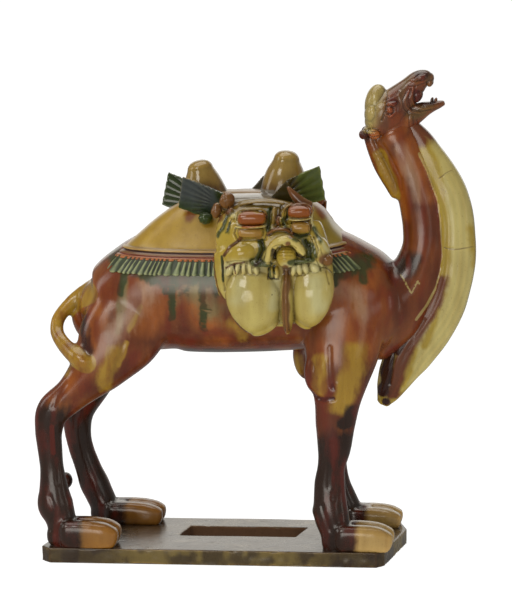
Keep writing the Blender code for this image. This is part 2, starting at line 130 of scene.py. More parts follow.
def smoothstep(low: float, high: float, value: np.ndarray) -> np.ndarray:
    """Rise smoothly from 0 at low to 1 at high."""
    t = np.clip((value - low) / (high - low), 0.0, 1.0)
    return t * t * (3 - 2 * t)


def mottle(points: np.ndarray, size: float, seed: int) -> np.ndarray:
    """Give smooth seeded noise between -1 and 1.

    Args:
        points: The places, one to a row.
        size: The size of a blotch in metres.
        seed: Which of the patterns it is.

    Returns:
        One value for each place.
    """
    scaled = points / size + seed * 17.31
    cell = np.floor(scaled).astype(np.int64)
    part = scaled - cell
    part = part * part * (3 - 2 * part)
    total = np.zeros(len(points))
    for corner in range(8):
        offset = np.array([corner & 1, corner >> 1 & 1, corner >> 2 & 1])
        key = (cell + offset) @ np.array([73856093, 19349663, 83492791]) + seed * 2654435
        key = (key ^ (key >> 13)) * 1274126177 & 0x7FFFFFFF
        key = (key ^ (key >> 11)) * 668265263 & 0x7FFFFFFF
        weight = np.prod(np.where(offset, part, 1 - part), axis=1)
        total += weight * ((key & 0xFFFF) / 32767.5 - 1)
    return total


def path_distance(places: np.ndarray, path: Path) -> np.ndarray:
    """Measure how far places are from a line of straight stretches.

    Args:
        places: Two coordinates to a row.
        path: The corners of the line; one corner alone stands for a spot.

    Returns:
        The distance of each place.
    """
    corners = np.array(path, float)
    if len(corners) == 1:
        return np.hypot(*(places - corners[0]).T)
    best = np.full(len(places), np.inf)
    for start, end in zip(corners, corners[1:]):
        along = end - start
        share = np.clip((places - start) @ along / (along @ along), 0, 1)
        best = np.minimum(best, np.hypot(*(places - start - share[:, None] * along).T))
    return best


@dataclass(frozen=True)
class Stroke:
    """One brush stroke of glaze, laid along points of x and z."""

    path: Path
    width: float
    load: float = 1.0
    side: Side = Side.BOTH

    def cover(self, places: np.ndarray, y: np.ndarray) -> np.ndarray:
        """Give how deep inside the stroke each place is.

        Args:
            places: The x and z of each place.
            y: The distance of each place towards the far side.

        Returns:
            1 on its middle line, 0 at its edge and less outside.
        """
        depth = self.load * (1 - path_distance(places, self.path) / self.width)
        if self.side is not Side.BOTH:
            away = smoothstep(-0.006, 0.006, -self.side.value * y)
            depth = depth - 2.0 * away
        return np.clip(depth, -1, 1)


@dataclass(frozen=True)
class Groove:
    """A line pressed into the clay; a negative depth raises it."""

    path: Path
    width: float
    depth: float
    side: Side = Side.BOTH


@dataclass(frozen=True)
class Lump:
    """A rounded lump of clay: its centre, radii and tilt in degrees."""

    centre: Row
    radii: Row
    tilt: float = 0.0


class Clay:
    """Closed lumps of clay, kept as arrays until a remesh unites them."""

    def __init__(self) -> None:
        """Start with no clay."""
        self.points: list[np.ndarray] = []
        self.faces: list[list[int]] = []
        self.count = 0

    def rings(self, rings: np.ndarray) -> None:
        """Skin rings of equal length, close both ends and face the skin outward.

        Args:
            rings: Rows of rings of points.
        """
        rows, around, _ = rings.shape
        ids = np.arange(rows * around).reshape(rows, around)
        after = np.roll(ids, -1, axis=1)
        quads = np.stack((ids[:-1], after[:-1], after[1:], ids[1:]), -1).reshape(-1, 4)
        low = np.stack((after[0], ids[0], np.full(around, rows * around)), -1)
        high = np.stack((ids[-1], after[-1], np.full(around, rows * around + 1)), -1)
        points = np.vstack((rings.reshape(-1, 3), rings[0].mean(0), rings[-1].mean(0)))
        ends = np.vstack((low, high))
        volume = 0.0
        for part in (quads[:, [0, 1, 2]], quads[:, [0, 2, 3]], ends):
            a, b, c = (points[part[:, k]] for k in range(3))
            volume += float((a * np.cross(b, c)).sum())
        if volume < 0:
            quads, ends = quads[:, ::-1], ends[:, ::-1]
        self.points.append(points)
        self.faces += (quads + self.count).tolist() + (ends + self.count).tolist()
        self.count += len(points)

    def sweep(self, rows: tuple[Row, ...], square: float = 2.0, sides: int = 40,
              steps: int = 7) -> None:
        """Sweep a rounded section along stations, with domed ends.

        Args:
            rows: Stations of x, y, z, half thickness side-on and half width across.
            square: How boxy the section is.
            sides: Points round the section.
            steps: Rings between two stations.
        """
        smooth = blend_rows(rows, steps)
        points = smooth[:, :3]
        ahead = np.vstack((points[1:], points[-1:])) - np.vstack((points[:1], points[:-1]))
        ahead /= np.linalg.norm(ahead, axis=1)[:, None]
        side = np.array([0.0, 1.0, 0.0]) - ahead * ahead[:, 1:2]
        side /= np.linalg.norm(side, axis=1)[:, None]
        normal = np.cross(side, ahead)
        c, s = boxy_ring(np.arange(sides) * 2 * math.pi / sides, square)
        last = len(smooth) - 1
        rings = []
        for index, row in enumerate(smooth):
            dome = min(row[3], row[4]) * 0.7
            cap = [(0.30, 0.96), (0.55, 0.86), (0.78, 0.69), (0.93, 0.45), (1.0, 0.15)]
            insets = [(0.0, 1.0)]
            if index == 0:
                insets = [(-dome * a, b) for a, b in reversed(cap)] + insets
            if index == last:
                insets += [(dome * a, b) for a, b in cap]
            for shift, scale in insets:
                rings.append(points[index] + ahead[index] * shift
                             + np.outer(c * row[3] * scale, normal[index])
                             + np.outer(s * row[4] * scale, side[index]))
        self.rings(np.array(rings))

    def lump(self, lump: Lump) -> None:
        """Add one rounded lump."""
        bands = 18
        place = Matrix.Translation(lump.centre) @ Matrix.Rotation(math.radians(lump.tilt), 4, "Y")
        matrix = np.array(place @ Matrix.Diagonal((*lump.radii, 1.0)))
        height = np.pi * np.arange(1, bands) / bands
        around = np.pi * np.arange(2 * bands) / bands
        ball = np.stack((np.outer(np.sin(height), np.cos(around)),
                         np.outer(np.sin(height), np.sin(around)),
                         np.repeat(-np.cos(height)[:, None], 2 * bands, axis=1)), -1)
        self.rings(ball @ matrix[:3, :3].T + matrix[:3, 3])

    def pair(self, lump: Lump) -> None:
        """Add a lump and its twin on the far side."""
        x, y, z = lump.centre
        self.lump(lump)
        self.lump(Lump((x, -y, z), lump.radii, lump.tilt))

    def item(self, name: str) -> bpy.types.Object:
        """Make an object of the clay as it is.

        Args:
            name: The piece's name.

        Returns:
            The new object.
        """
        mesh = bpy.data.meshes.new(name)
        mesh.from_pydata(np.vstack(self.points).tolist(), [], self.faces)
        piece = bpy.data.objects.new(name, mesh)
        bpy.context.scene.collection.objects.link(piece)
        return piece

    def fuse(self, name: str, voxel: float, melt_rounds: int) -> bpy.types.Object:
        """Unite the lumps in one skin and melt its creases.

        Args:
            name: The piece's name.
            voxel: The size of the remesh's cells in metres.
            melt_rounds: How far the creases melt.

        Returns:
            The united piece.
        """
        piece = self.item(name)
        unite = piece.modifiers.new("unite", "REMESH")
        unite.mode = "VOXEL"
        unite.voxel_size = voxel * 1.0
        melt = piece.modifiers.new("melt", "SMOOTH")
        melt.factor = 0.5
        melt.iterations = melt_rounds
        return settle(piece)


def settle(piece: bpy.types.Object) -> bpy.types.Object:
    """Replace a piece's mesh by the result of its modifiers.

    Args:
        piece: The piece.

    Returns:
        The same piece.
    """
    graph = bpy.context.evaluated_depsgraph_get()
    result = bpy.data.meshes.new_from_object(piece.evaluated_get(graph))
    piece.modifiers.clear()
    piece.data = result
    return piece


def thin(piece: bpy.types.Object, triangles: int) -> None:
    """Thin a piece's mesh to a number of triangles.

    Args:
        piece: The piece.
        triangles: The most that it keeps.
    """
    now = sum(len(face.vertices) - 2 for face in piece.data.polygons)
    if now > triangles:
        fewer = piece.modifiers.new("thin", "DECIMATE")
        fewer.ratio = triangles / now
        settle(piece)


def read(piece: bpy.types.Object, what: str = "co") -> np.ndarray:
    """Read the places or the normals of a piece's points, one to a row."""
    values = np.empty(len(piece.data.vertices) * 3, np.float32)
    piece.data.vertices.foreach_get(what, values)
    return values.reshape(-1, 3).astype(float)


def write(piece: bpy.types.Object, points: np.ndarray) -> None:
    """Put a piece's points in new places."""
    piece.data.vertices.foreach_set("co", points.astype(np.float32).ravel())
    piece.data.update()


def put_field(piece: bpy.types.Object, name: str, values: np.ndarray) -> None:
    """Store one number for each point of a piece, for its material to read."""
    layer = piece.data.attributes.new(name, "FLOAT", "POINT")
    layer.data.foreach_set("value", values.astype(np.float32))


def hollows(piece: bpy.types.Object, rounds: int = 3) -> np.ndarray:
    """Find where glaze pools and where it runs thin.

    Args:
        piece: The piece.
        rounds: How many times the result is averaged with its neighbours.

    Returns:
        Above 0 in a hollow, below 0 on a ridge, for each point.
    """
    points, normals = read(piece), read(piece, "normal")
    ends = np.empty(len(piece.data.edges) * 2, np.int32)
    piece.data.edges.foreach_get("vertices", ends)
    a, b = ends.reshape(-1, 2).T
    step = points[b] - points[a]
    size = np.maximum((step ** 2).sum(1), 1e-9)
    count = len(points)
    degree = np.maximum(np.bincount(a, minlength=count) + np.bincount(b, minlength=count), 1)
    bend = (np.bincount(a, (step * normals[a]).sum(1) / size, count)
            - np.bincount(b, (step * normals[b]).sum(1) / size, count)) / degree
    for _ in range(rounds):
        bend = (bend + (np.bincount(a, bend[b], count)
                        + np.bincount(b, bend[a], count)) / degree) / 2
    return np.clip(bend / 90.0, -1, 1)


def press(piece: bpy.types.Object, grooves: tuple[Groove, ...], extra: np.ndarray | None = None,
          ) -> None:
    """Press grooves into the sides of a piece, and move it along its normals by an extra.

    Args:
        piece: The piece.
        grooves: The lines to press or raise.
        extra: How far each point moves outward besides.
    """
    points, normals = read(piece), read(piece, "normal")
    move = np.zeros(len(points)) if extra is None else extra.copy()
    flat = points[:, [0, 2]]
    for groove in grooves:
        corners = np.array(groove.path)
        reach = groove.width * 2.5
        near = ((flat > corners.min(0) - reach) & (flat < corners.max(0) + reach)).all(1)
        sides = (-1, 1) if groove.side is Side.BOTH else (groove.side.value,)
        for side in sides:
            chosen = np.flatnonzero(near & (normals[:, 1] * side > 0.1))
            if len(chosen) == 0:
                continue
            away = path_distance(flat[chosen], groove.path)
            facing = smoothstep(0.1, 0.45, normals[chosen, 1] * side)
            move[chosen] -= groove.depth * np.exp(-(away / groove.width) ** 2) * facing
    write(piece, points + normals * move[:, None])


def paint(piece: bpy.types.Object, name: str, strokes: tuple[Stroke, ...], seed: int,
          extra: np.ndarray | None = None) -> None:
    """Lay the strokes of one glaze on a piece.

    Args:
        piece: The piece.
        name: The glaze's name, which its material reads.
        strokes: The strokes.
        seed: Which of the patterns makes their edges wander.
        extra: More cover for each point, above 0 where the glaze is.
    """
    points = read(piece)
    drift = np.stack((mottle(points, 0.018, seed), mottle(points, 0.018, seed + 1)), 1) * 0.0035
    drift += np.stack((mottle(points, 0.07, seed + 2), mottle(points, 0.07, seed + 3)),
                      1) * 0.012 * smoothstep(-0.01, 0.02, points[:, 1])[:, None]
    places = points[:, [0, 2]] + drift
    cover = np.full(len(points), -1.0) if extra is None else np.clip(extra, -1, 1)
    for stroke in strokes:
        cover = np.maximum(cover, stroke.cover(places, points[:, 1]))
    put_field(piece, name, cover)


@dataclass(frozen=True)
class GlazeLayer:
    """A glaze that is laid over the ones before it, where its field says."""

    field: str
    colour: Colour
    soft: float = 0.35
    ragged: float = 0.5
    runs: float = 0.4
    strength: float = 1.0


@dataclass(frozen=True)
class SancaiFinish:
    """A lead-glazed surface: its ground colour, its layers and its gloss."""

    name: str
    ground: Colour
    layers: tuple[GlazeLayer, ...] = ()
    roughness: float = 0.22
    rough_spread: float = 0.12
    pooling: float = 0.55
    streaks: float = 0.35
    specks: float = 0.35
    relief: float = 0.12
    coat_roughness: float = 0.12
    pool_colour: Colour = (0.22, 0.12, 0.07)
    bare_field: str = ""

    def material(self, tools: "GlazeTools") -> bpy.types.Material:
        """Make the material.

        Args:
            tools: The shared node groups.

        Returns:
            The finished material.
        """
        finish = bpy.data.materials.new(self.name)
        finish.use_nodes = True
        tree = finish.node_tree
        shader = tree.nodes["Principled BSDF"]
        colour = None
        for layer in self.layers:
            field_node = tree.nodes.new("ShaderNodeAttribute")
            field_node.attribute_name = layer.field
            run = tools.place(tree, tools.run, Soft=layer.soft, Ragged=layer.ragged,
                              Runs=layer.runs, Strength=layer.strength)
            tree.links.new(field_node.outputs["Fac"], run.inputs["Cover"])
            run.inputs["Glaze"].default_value = (*layer.colour, 1)
            if colour is None:
                run.inputs["Under"].default_value = (*self.ground, 1)
            else:
                tree.links.new(colour, run.inputs["Under"])
            colour = run.outputs["Colour"]
        pool_node = tree.nodes.new("ShaderNodeAttribute")
        pool_node.attribute_name = "pool"
        body = tools.place(tree, tools.body, Pooling=self.pooling, Streaks=self.streaks,
                           Specks=self.specks, Roughness=self.roughness,
                           Spread=self.rough_spread)
        tree.links.new(pool_node.outputs["Fac"], body.inputs["Pool"])
        body.inputs["Pool Colour"].default_value = (*self.pool_colour, 1)
        if colour is None:
            body.inputs["Glaze"].default_value = (*self.ground, 1)
        else:
            tree.links.new(colour, body.inputs["Glaze"])
        if self.bare_field:
            bare = tree.nodes.new("ShaderNodeAttribute")
            bare.attribute_name = self.bare_field
            tree.links.new(bare.outputs["Fac"], body.inputs["Bare"])
        tree.links.new(body.outputs["Colour"], shader.inputs["Base Color"])
        tree.links.new(body.outputs["Roughness"], shader.inputs["Roughness"])
        tree.links.new(body.outputs["Coat"], shader.inputs["Coat Weight"])
        shader.inputs["Coat Roughness"].default_value = self.coat_roughness
        shader.inputs["Specular IOR Level"].default_value = 0.2
        shader.inputs["Coat IOR"].default_value = 1.5
        shader.inputs["IOR"].default_value = 1.5
        bump = tree.nodes.new("ShaderNodeBump")
        bump.inputs["Strength"].default_value = self.relief
        bump.inputs["Distance"].default_value = 0.002
        tree.links.new(body.outputs["Height"], bump.inputs["Height"])
        tree.links.new(bump.outputs["Normal"], shader.inputs["Normal"])
        return finish


class GlazeTools:
    """The node groups that all the glazed surfaces share."""

    def __init__(self) -> None:
        """Build both groups once."""
        self.run = self._run()
        self.body = self._body()

    @staticmethod
    def place(tree: bpy.types.NodeTree, group: bpy.types.NodeTree,
              **values: float) -> bpy.types.Node:
        """Place a group in a material.

        Args:
            tree: The material's nodes.
            group: The group.
            **values: Its inputs by name.

        Returns:
            The group's node.
        """
        node = tree.nodes.new("ShaderNodeGroup")
        node.node_tree = group
        for name, value in values.items():
            node.inputs[name].default_value = value
        return node

    @staticmethod
    def _start(name: str, numbers: tuple[str, ...], colours: tuple[str, ...],
               outs: tuple[tuple[str, str], ...]) -> tuple:
        """Start a group with its sockets.

        Args:
            name: The group's name.
            numbers: Names of its number inputs.
            colours: Names of its colour inputs.
            outs: Name and kind of each output.

        Returns:
            The group, its input node and its output node.
        """
        group = bpy.data.node_groups.new(name, "ShaderNodeTree")
        for label in numbers:
            group.interface.new_socket(label, in_out="INPUT", socket_type="NodeSocketFloat")
        for label in colours:
            group.interface.new_socket(label, in_out="INPUT", socket_type="NodeSocketColor")
        for label, kind in outs:
            group.interface.new_socket(label, in_out="OUTPUT", socket_type=kind)
        return group, group.nodes.new("NodeGroupInput"), group.nodes.new("NodeGroupOutput")

    @staticmethod
    def _math(group: bpy.types.NodeTree, kind: str, *parts: object) -> bpy.types.NodeSocket:
        """Combine numbers or sockets by one operation and give the result."""
        node = group.nodes.new("ShaderNodeMath")
        node.operation = kind
        for slot, part in zip(node.inputs, parts):
            if isinstance(part, bpy.types.NodeSocket):
                group.links.new(part, slot)
            else:
                slot.default_value = part
        return node.outputs[0]

    @staticmethod
    def _noise(group: bpy.types.NodeTree, scale: float, stretch: Colour = (1, 1, 1),
               detail: float = 3.0, shift: float = 0.0) -> bpy.types.NodeSocket:
        """Give noise over the object's own coordinates, stretched along its axes."""
        place = group.nodes.new("ShaderNodeTexCoord")
        turn = group.nodes.new("ShaderNodeMapping")
        turn.inputs["Scale"].default_value = stretch
        turn.inputs["Location"].default_value = (shift, shift * 0.7, shift * 1.3)
        noise = group.nodes.new("ShaderNodeTexNoise")
        noise.inputs["Scale"].default_value = scale
        noise.inputs["Detail"].default_value = detail
        group.links.new(place.outputs["Object"], turn.inputs["Vector"])
        group.links.new(turn.outputs["Vector"], noise.inputs["Vector"])
        return noise.outputs["Fac"]

    @staticmethod
    def _mix(group: bpy.types.NodeTree, kind: str, share: object, under: object,
             over: object) -> bpy.types.NodeSocket:
        """Mix two colours by a share and give the result."""
        node = group.nodes.new("ShaderNodeMix")
        node.data_type = "RGBA"
        node.blend_type = kind
        for slot, part in ((node.inputs[0], share), (node.inputs[6], under),
                           (node.inputs[7], over)):
            if isinstance(part, bpy.types.NodeSocket):
                group.links.new(part, slot)
            else:
                slot.default_value = part
        return node.outputs[2]

    def _run(self) -> bpy.types.NodeTree:
        """Build the group that lays one glaze over another with a running edge."""
        group, given, out = self._start(
            "glaze run", ("Cover", "Soft", "Ragged", "Runs", "Strength"), ("Under", "Glaze"),
            (("Colour", "NodeSocketColor"),))
        ragged = self._math(group, "SUBTRACT", self._noise(group, 120.0, (1, 1, 0.6), 4.0), 0.5)
        runs = self._math(group, "SUBTRACT",
                          self._noise(group, 70.0, (1, 1, 0.09), 3.0, 3.1), 0.5)
        cover = self._math(group, "MULTIPLY_ADD", ragged, given.outputs["Ragged"],
                           given.outputs["Cover"])
        cover = self._math(group, "MULTIPLY_ADD", runs, given.outputs["Runs"], cover)
        ramp = group.nodes.new("ShaderNodeMapRange")
        ramp.interpolation_type = "SMOOTHSTEP"
        group.links.new(cover, ramp.inputs["Value"])
        group.links.new(self._math(group, "MULTIPLY", given.outputs["Soft"], -1.0),
                        ramp.inputs["From Min"])
        group.links.new(given.outputs["Soft"], ramp.inputs["From Max"])
        share = self._math(group, "MULTIPLY", ramp.outputs["Result"], given.outputs["Strength"])
        mixed = self._mix(group, "MIX", share, given.outputs["Under"], given.outputs["Glaze"])
        group.links.new(mixed, out.inputs["Colour"])
        return group

    def _body(self) -> bpy.types.NodeTree:
        """Build the group for pooling, streaks, specks, gloss and the skin of a glaze."""
        group, given, out = self._start(
            "glaze body", ("Pool", "Pooling", "Streaks", "Specks", "Roughness", "Spread", "Bare"),
            ("Glaze", "Pool Colour"),
            (("Colour", "NodeSocketColor"), ("Roughness", "NodeSocketFloat"),
             ("Coat", "NodeSocketFloat"), ("Height", "NodeSocketFloat")))
        deep = self._math(group, "MULTIPLY",
                          self._math(group, "MAXIMUM", given.outputs["Pool"], 0.0),
                          given.outputs["Pooling"])
        shallow = self._math(group, "MULTIPLY",
                             self._math(group, "MAXIMUM",
                                        self._math(group, "MULTIPLY", given.outputs["Pool"],
                                                   -1.0), 0.0),
                             given.outputs["Pooling"])
        streak = self._noise(group, 60.0, (1, 1, 0.12), 4.0, 7.7)
        cloud = self._noise(group, 14.0, (1, 1, 0.7), 3.0, 1.9)
        both = self._math(group, "ADD", self._math(group, "MULTIPLY", streak, 0.6),
                          self._math(group, "MULTIPLY", cloud, 0.4))
        swing = self._math(group, "MULTIPLY",
                           self._math(group, "SUBTRACT", both, 0.5), given.outputs["Streaks"])
        bright = self._math(group, "MULTIPLY_ADD", swing, 3.2, 1.0)
        bright = self._math(group, "MAXIMUM", bright, 0.25)
        tint = group.nodes.new("ShaderNodeCombineColor")
        warm = self._math(group, "MULTIPLY_ADD", swing, 2.6, 1.0)
        cool = self._math(group, "MULTIPLY_ADD", swing, 4.0, 1.0)
        group.links.new(self._math(group, "MAXIMUM", warm, 0.3), tint.inputs[0])
        group.links.new(bright, tint.inputs[1])
        group.links.new(self._math(group, "MAXIMUM", cool, 0.2), tint.inputs[2])
        colour = self._mix(group, "MULTIPLY", 1.0, given.outputs["Glaze"], tint.outputs["Color"])
        colour = self._mix(group, "MULTIPLY", deep, colour, given.outputs["Pool Colour"])
        colour = self._mix(group, "MULTIPLY", shallow, colour, (2.0, 1.75, 1.45, 1))
        speck = self._noise(group, 420.0, (1, 1, 1), 2.0, 2.2)
        dirt = group.nodes.new("ShaderNodeMapRange")
        dirt.inputs["From Min"].default_value = 0.64
        dirt.inputs["From Max"].default_value = 0.72
        group.links.new(speck, dirt.inputs["Value"])
        dots = self._math(group, "MULTIPLY", dirt.outputs["Result"], given.outputs["Specks"])
        colour = self._mix(group, "MULTIPLY", dots, colour, (0.35, 0.24, 0.16, 1))
        group.links.new(colour, out.inputs["Colour"])
        patch = self._noise(group, 30.0, (1, 1, 1), 4.0, 5.5)
        rough = self._math(group, "MULTIPLY_ADD",
                           self._math(group, "SUBTRACT", patch, 0.45), given.outputs["Spread"],
                           given.outputs["Roughness"])
        rough = self._math(group, "MULTIPLY_ADD", given.outputs["Bare"], 0.5, rough)
        rough = self._math(group, "MINIMUM", self._math(group, "MAXIMUM", rough, 0.06), 0.9)
        group.links.new(rough, out.inputs["Roughness"])
        coat = self._math(group, "SUBTRACT", 1.0,
                          self._math(group, "MINIMUM",
                                     self._math(group, "MAXIMUM", given.outputs["Bare"], 0.0),
                                     1.0))
        group.links.new(coat, out.inputs["Coat"])
        skin = self._noise(group, 160.0, (1, 1, 0.5), 3.0, 9.1)
        fine = self._noise(group, 700.0, (1, 1, 1), 2.0, 4.3)
        height = self._math(group, "MULTIPLY_ADD", fine, 0.15, skin)
        group.links.new(height, out.inputs["Height"])
        return group


AMBER = glaze_rgb(124, 70, 28)
ORANGE = glaze_rgb(150, 82, 28)
RUST = glaze_rgb(84, 36, 18)
STRAW = glaze_rgb(160, 126, 36)
CREAM = glaze_rgb(178, 163, 98)
GREEN = glaze_rgb(44, 58, 26)
BLACK_BROWN = glaze_rgb(44, 27, 18)
MUSTARD = glaze_rgb(166, 132, 38)
# a grey painted on the near board's rear end as its reflection
BOARD_SHEEN_GREY = glaze_rgb(62, 68, 68)


@dataclass
class Camel:
    """The bare camel: torso, neck, legs, feet, tail, head and mane."""

    torso: tuple[Row, ...] = (
        (-0.280, 0.0, 0.390, 0.034, 0.034), (-0.264, 0.0, 0.396, 0.060, 0.060),
        (-0.235, 0.0, 0.404, 0.080, 0.079), (-0.190, 0.0, 0.429, 0.094, 0.089),
        (-0.139, 0.0, 0.447, 0.105, 0.094), (-0.088, 0.0, 0.450, 0.110, 0.097),
        (-0.020, 0.0, 0.452, 0.112, 0.099), (0.047, 0.0, 0.453, 0.110, 0.099),
        (0.115, 0.0, 0.450, 0.103, 0.096), (0.178, 0.0, 0.437, 0.087, 0.088),
        (0.232, 0.0, 0.423, 0.064, 0.070), (0.268, 0.0, 0.432, 0.042, 0.046))
    neck: tuple[Row, ...] = (
        (0.195, 0.0, 0.408, 0.085, 0.068), (0.236, 0.0, 0.428, 0.070, 0.060),
        (0.270, 0.0, 0.463, 0.047, 0.046), (0.288, 0.0, 0.510, 0.037, 0.038),
        (0.291, 0.0, 0.547, 0.037, 0.034), (0.287, 0.0, 0.580, 0.037, 0.033),
        (0.279, 0.0, 0.613, 0.036, 0.033), (0.269, 0.0, 0.646, 0.035, 0.032),
        (0.256, 0.0, 0.676, 0.034, 0.032), (0.240, 0.0, 0.704, 0.036, 0.031))
    legs: tuple[tuple[Row, ...], ...] = (
        ((-0.180, -0.045, 0.428, 0.070, 0.042), (-0.219, -0.062, 0.370, 0.068, 0.040),
         (-0.250, -0.072, 0.325, 0.048, 0.034), (-0.290, -0.078, 0.283, 0.031, 0.026),
         (-0.326, -0.082, 0.251, 0.028, 0.021), (-0.334, -0.084, 0.218, 0.0235, 0.0185),
         (-0.333, -0.085, 0.190, 0.0215, 0.017), (-0.330, -0.086, 0.155, 0.0205, 0.017),
         (-0.327, -0.087, 0.120, 0.0250, 0.020), (-0.325, -0.088, 0.093, 0.0310, 0.022),
         (-0.317, -0.088, 0.070, 0.0260, 0.022), (-0.312, -0.088, 0.044, 0.0240, 0.025),
         (-0.308, -0.088, 0.024, 0.0240, 0.025)),
        ((-0.188, 0.045, 0.425, 0.070, 0.042), (-0.236, 0.062, 0.362, 0.055, 0.040),
         (-0.266, 0.074, 0.316, 0.044, 0.034), (-0.294, 0.080, 0.265, 0.036, 0.028),
         (-0.314, 0.084, 0.224, 0.029, 0.022), (-0.317, 0.086, 0.190, 0.0240, 0.018),
         (-0.312, 0.087, 0.155, 0.0220, 0.017), (-0.300, 0.087, 0.120, 0.0230, 0.018),
         (-0.291, 0.088, 0.094, 0.0260, 0.021), (-0.280, 0.088, 0.070, 0.0245, 0.022),
         (-0.270, 0.088, 0.046, 0.0240, 0.025), (-0.264, 0.088, 0.024, 0.0240, 0.025)),
        ((0.165, -0.044, 0.455, 0.078, 0.040), (0.160, -0.060, 0.391, 0.070, 0.038),
         (0.156, -0.072, 0.341, 0.060, 0.035), (0.153, -0.078, 0.300, 0.047, 0.030),
         (0.150, -0.081, 0.264, 0.0375, 0.025), (0.147, -0.083, 0.232, 0.0330, 0.022),
         (0.145, -0.084, 0.195, 0.0285, 0.021), (0.140, -0.085, 0.162, 0.0235, 0.018),
         (0.137, -0.086, 0.135, 0.0265, 0.018), (0.137, -0.087, 0.106, 0.0280, 0.020),
         (0.139, -0.088, 0.082, 0.0295, 0.022), (0.147, -0.088, 0.052, 0.0270, 0.024),
         (0.151, -0.088, 0.024, 0.0270, 0.024)),
        ((0.160, 0.044, 0.440, 0.076, 0.040), (0.146, 0.060, 0.380, 0.066, 0.038),
         (0.131, 0.074, 0.329, 0.051, 0.033), (0.122, 0.080, 0.277, 0.034, 0.026),
         (0.126, 0.084, 0.225, 0.027, 0.021), (0.128, 0.085, 0.173, 0.024, 0.018),
         (0.128, 0.086, 0.130, 0.0220, 0.018), (0.132, 0.087, 0.097, 0.0240, 0.021),
         (0.143, 0.088, 0.068, 0.0245, 0.023), (0.152, 0.088, 0.044, 0.0260, 0.024),
         (0.156, 0.088, 0.024, 0.0260, 0.024)))
    feet: tuple[Row, ...] = ((-0.340, -0.218, -0.090, 0.069), (-0.298, -0.169, 0.090, 0.0625),
                             (0.122, 0.241, -0.088, 0.068), (0.128, 0.243, 0.090, 0.0585))
    toe: tuple[Row, ...] = ((0.30, 1.00, 0.0165), (0.60, 1.00, 0.0175), (0.80, 0.93, 0.0175),
                            (0.92, 0.78, 0.0155))
    toe_spread: float = 0.0165
    foot_sink: float = 0.003
    heel: tuple[Row, ...] = ((0.10, 0.040, 0.017, 0.021), (0.45, 0.042, 0.020, 0.028))
    tail: tuple[Row, ...] = (
        (-0.266, -0.004, 0.446, 0.018, 0.015), (-0.294, -0.010, 0.431, 0.0140, 0.012),
        (-0.313, -0.018, 0.414, 0.0120, 0.011), (-0.325, -0.028, 0.396, 0.0115, 0.011),
        (-0.325, -0.040, 0.378, 0.0120, 0.011), (-0.314, -0.057, 0.364, 0.0130, 0.011),
        (-0.297, -0.078, 0.352, 0.0145, 0.012), (-0.279, -0.096, 0.342, 0.0145, 0.012),
        (-0.265, -0.102, 0.336, 0.0100, 0.009))
    skull: tuple[Row, ...] = (
        (0.218, 0.0, 0.722, 0.0285, 0.029), (0.231, 0.0, 0.742, 0.035, 0.031),
        (0.250, 0.0, 0.762, 0.027, 0.025), (0.267, 0.0, 0.780, 0.0205, 0.020),
        (0.281, 0.0, 0.7935, 0.0175, 0.019), (0.292, 0.0, 0.7980, 0.0140, 0.016),
        (0.2995, 0.0, 0.7975, 0.0095, 0.012))
    jaw: tuple[Row, ...] = (
        (0.236, 0.0, 0.722, 0.026, 0.026), (0.257, 0.0, 0.731, 0.0220, 0.022),
        (0.276, 0.0, 0.740, 0.0165, 0.018), (0.290, 0.0, 0.747, 0.0125, 0.015),
        (0.303, 0.0, 0.7515, 0.0085, 0.013), (0.314, 0.0, 0.755, 0.0065, 0.011),
        (0.321, 0.0, 0.757, 0.0045, 0.007))
    mane: tuple[Row, ...] = (
        (0.199, 0.0, 0.712, 0.0120, 0.015), (0.208, 0.0, 0.684, 0.0135, 0.017),
        (0.220, 0.0, 0.655, 0.0145, 0.017), (0.233, 0.0, 0.630, 0.0135, 0.016),
        (0.244, 0.0, 0.607, 0.0110, 0.014))
    muscles: tuple[Lump, ...] = (
        Lump((-0.222, -0.040, 0.408), (0.054, 0.048, 0.068), 30),
        Lump((-0.176, -0.050, 0.376), (0.048, 0.036, 0.032), -28),
        Lump((0.198, -0.040, 0.412), (0.056, 0.044, 0.074), 15),
        Lump((-0.334, -0.084, 0.252), (0.016, 0.014, 0.020), 20),
        Lump((-0.341, -0.087, 0.096), (0.014, 0.016, 0.016), 0),
        Lump((0.120, -0.086, 0.088), (0.014, 0.014, 0.016), 0))
    singles: tuple[Lump, ...] = (
        Lump((0.246, 0.0, 0.416), (0.044, 0.048, 0.050)),
        Lump((0.118, -0.080, 0.320), (0.024, 0.020, 0.038)),
        Lump((0.085, 0.078, 0.322), (0.026, 0.022, 0.044)),
        Lump((0.163, -0.088, 0.238), (0.016, 0.012, 0.022)),
        Lump((0.131, 0.088, 0.236), (0.015, 0.012, 0.020)))
    face: tuple[Lump, ...] = (
        Lump((0.238, -0.0255, 0.7575), (0.0100, 0.006, 0.0042), -15),
        Lump((0.2355, -0.0275, 0.7480), (0.0056, 0.0052, 0.0060), 0),
        Lump((0.236, -0.0265, 0.7390), (0.0080, 0.0055, 0.0036), -20),
        Lump((0.286, -0.011, 0.8000), (0.0100, 0.0075, 0.0068), -20),
        Lump((0.300, -0.008, 0.7905), (0.0050, 0.0060, 0.0060), 25),
        Lump((0.279, -0.0100, 0.7710), (0.0085, 0.0070, 0.0120), 10),
        Lump((0.209, -0.029, 0.7090), (0.0105, 0.0062, 0.0085), 18),
        Lump((0.1915, -0.029, 0.7080), (0.0078, 0.0070, 0.0086), 0))
    teeth: tuple[Lump, ...] = (
        Lump((0.3030, -0.0065, 0.7620), (0.0022, 0.0026, 0.0046), 8),
        Lump((0.3090, -0.0055, 0.7620), (0.0024, 0.0026, 0.0040), 16))
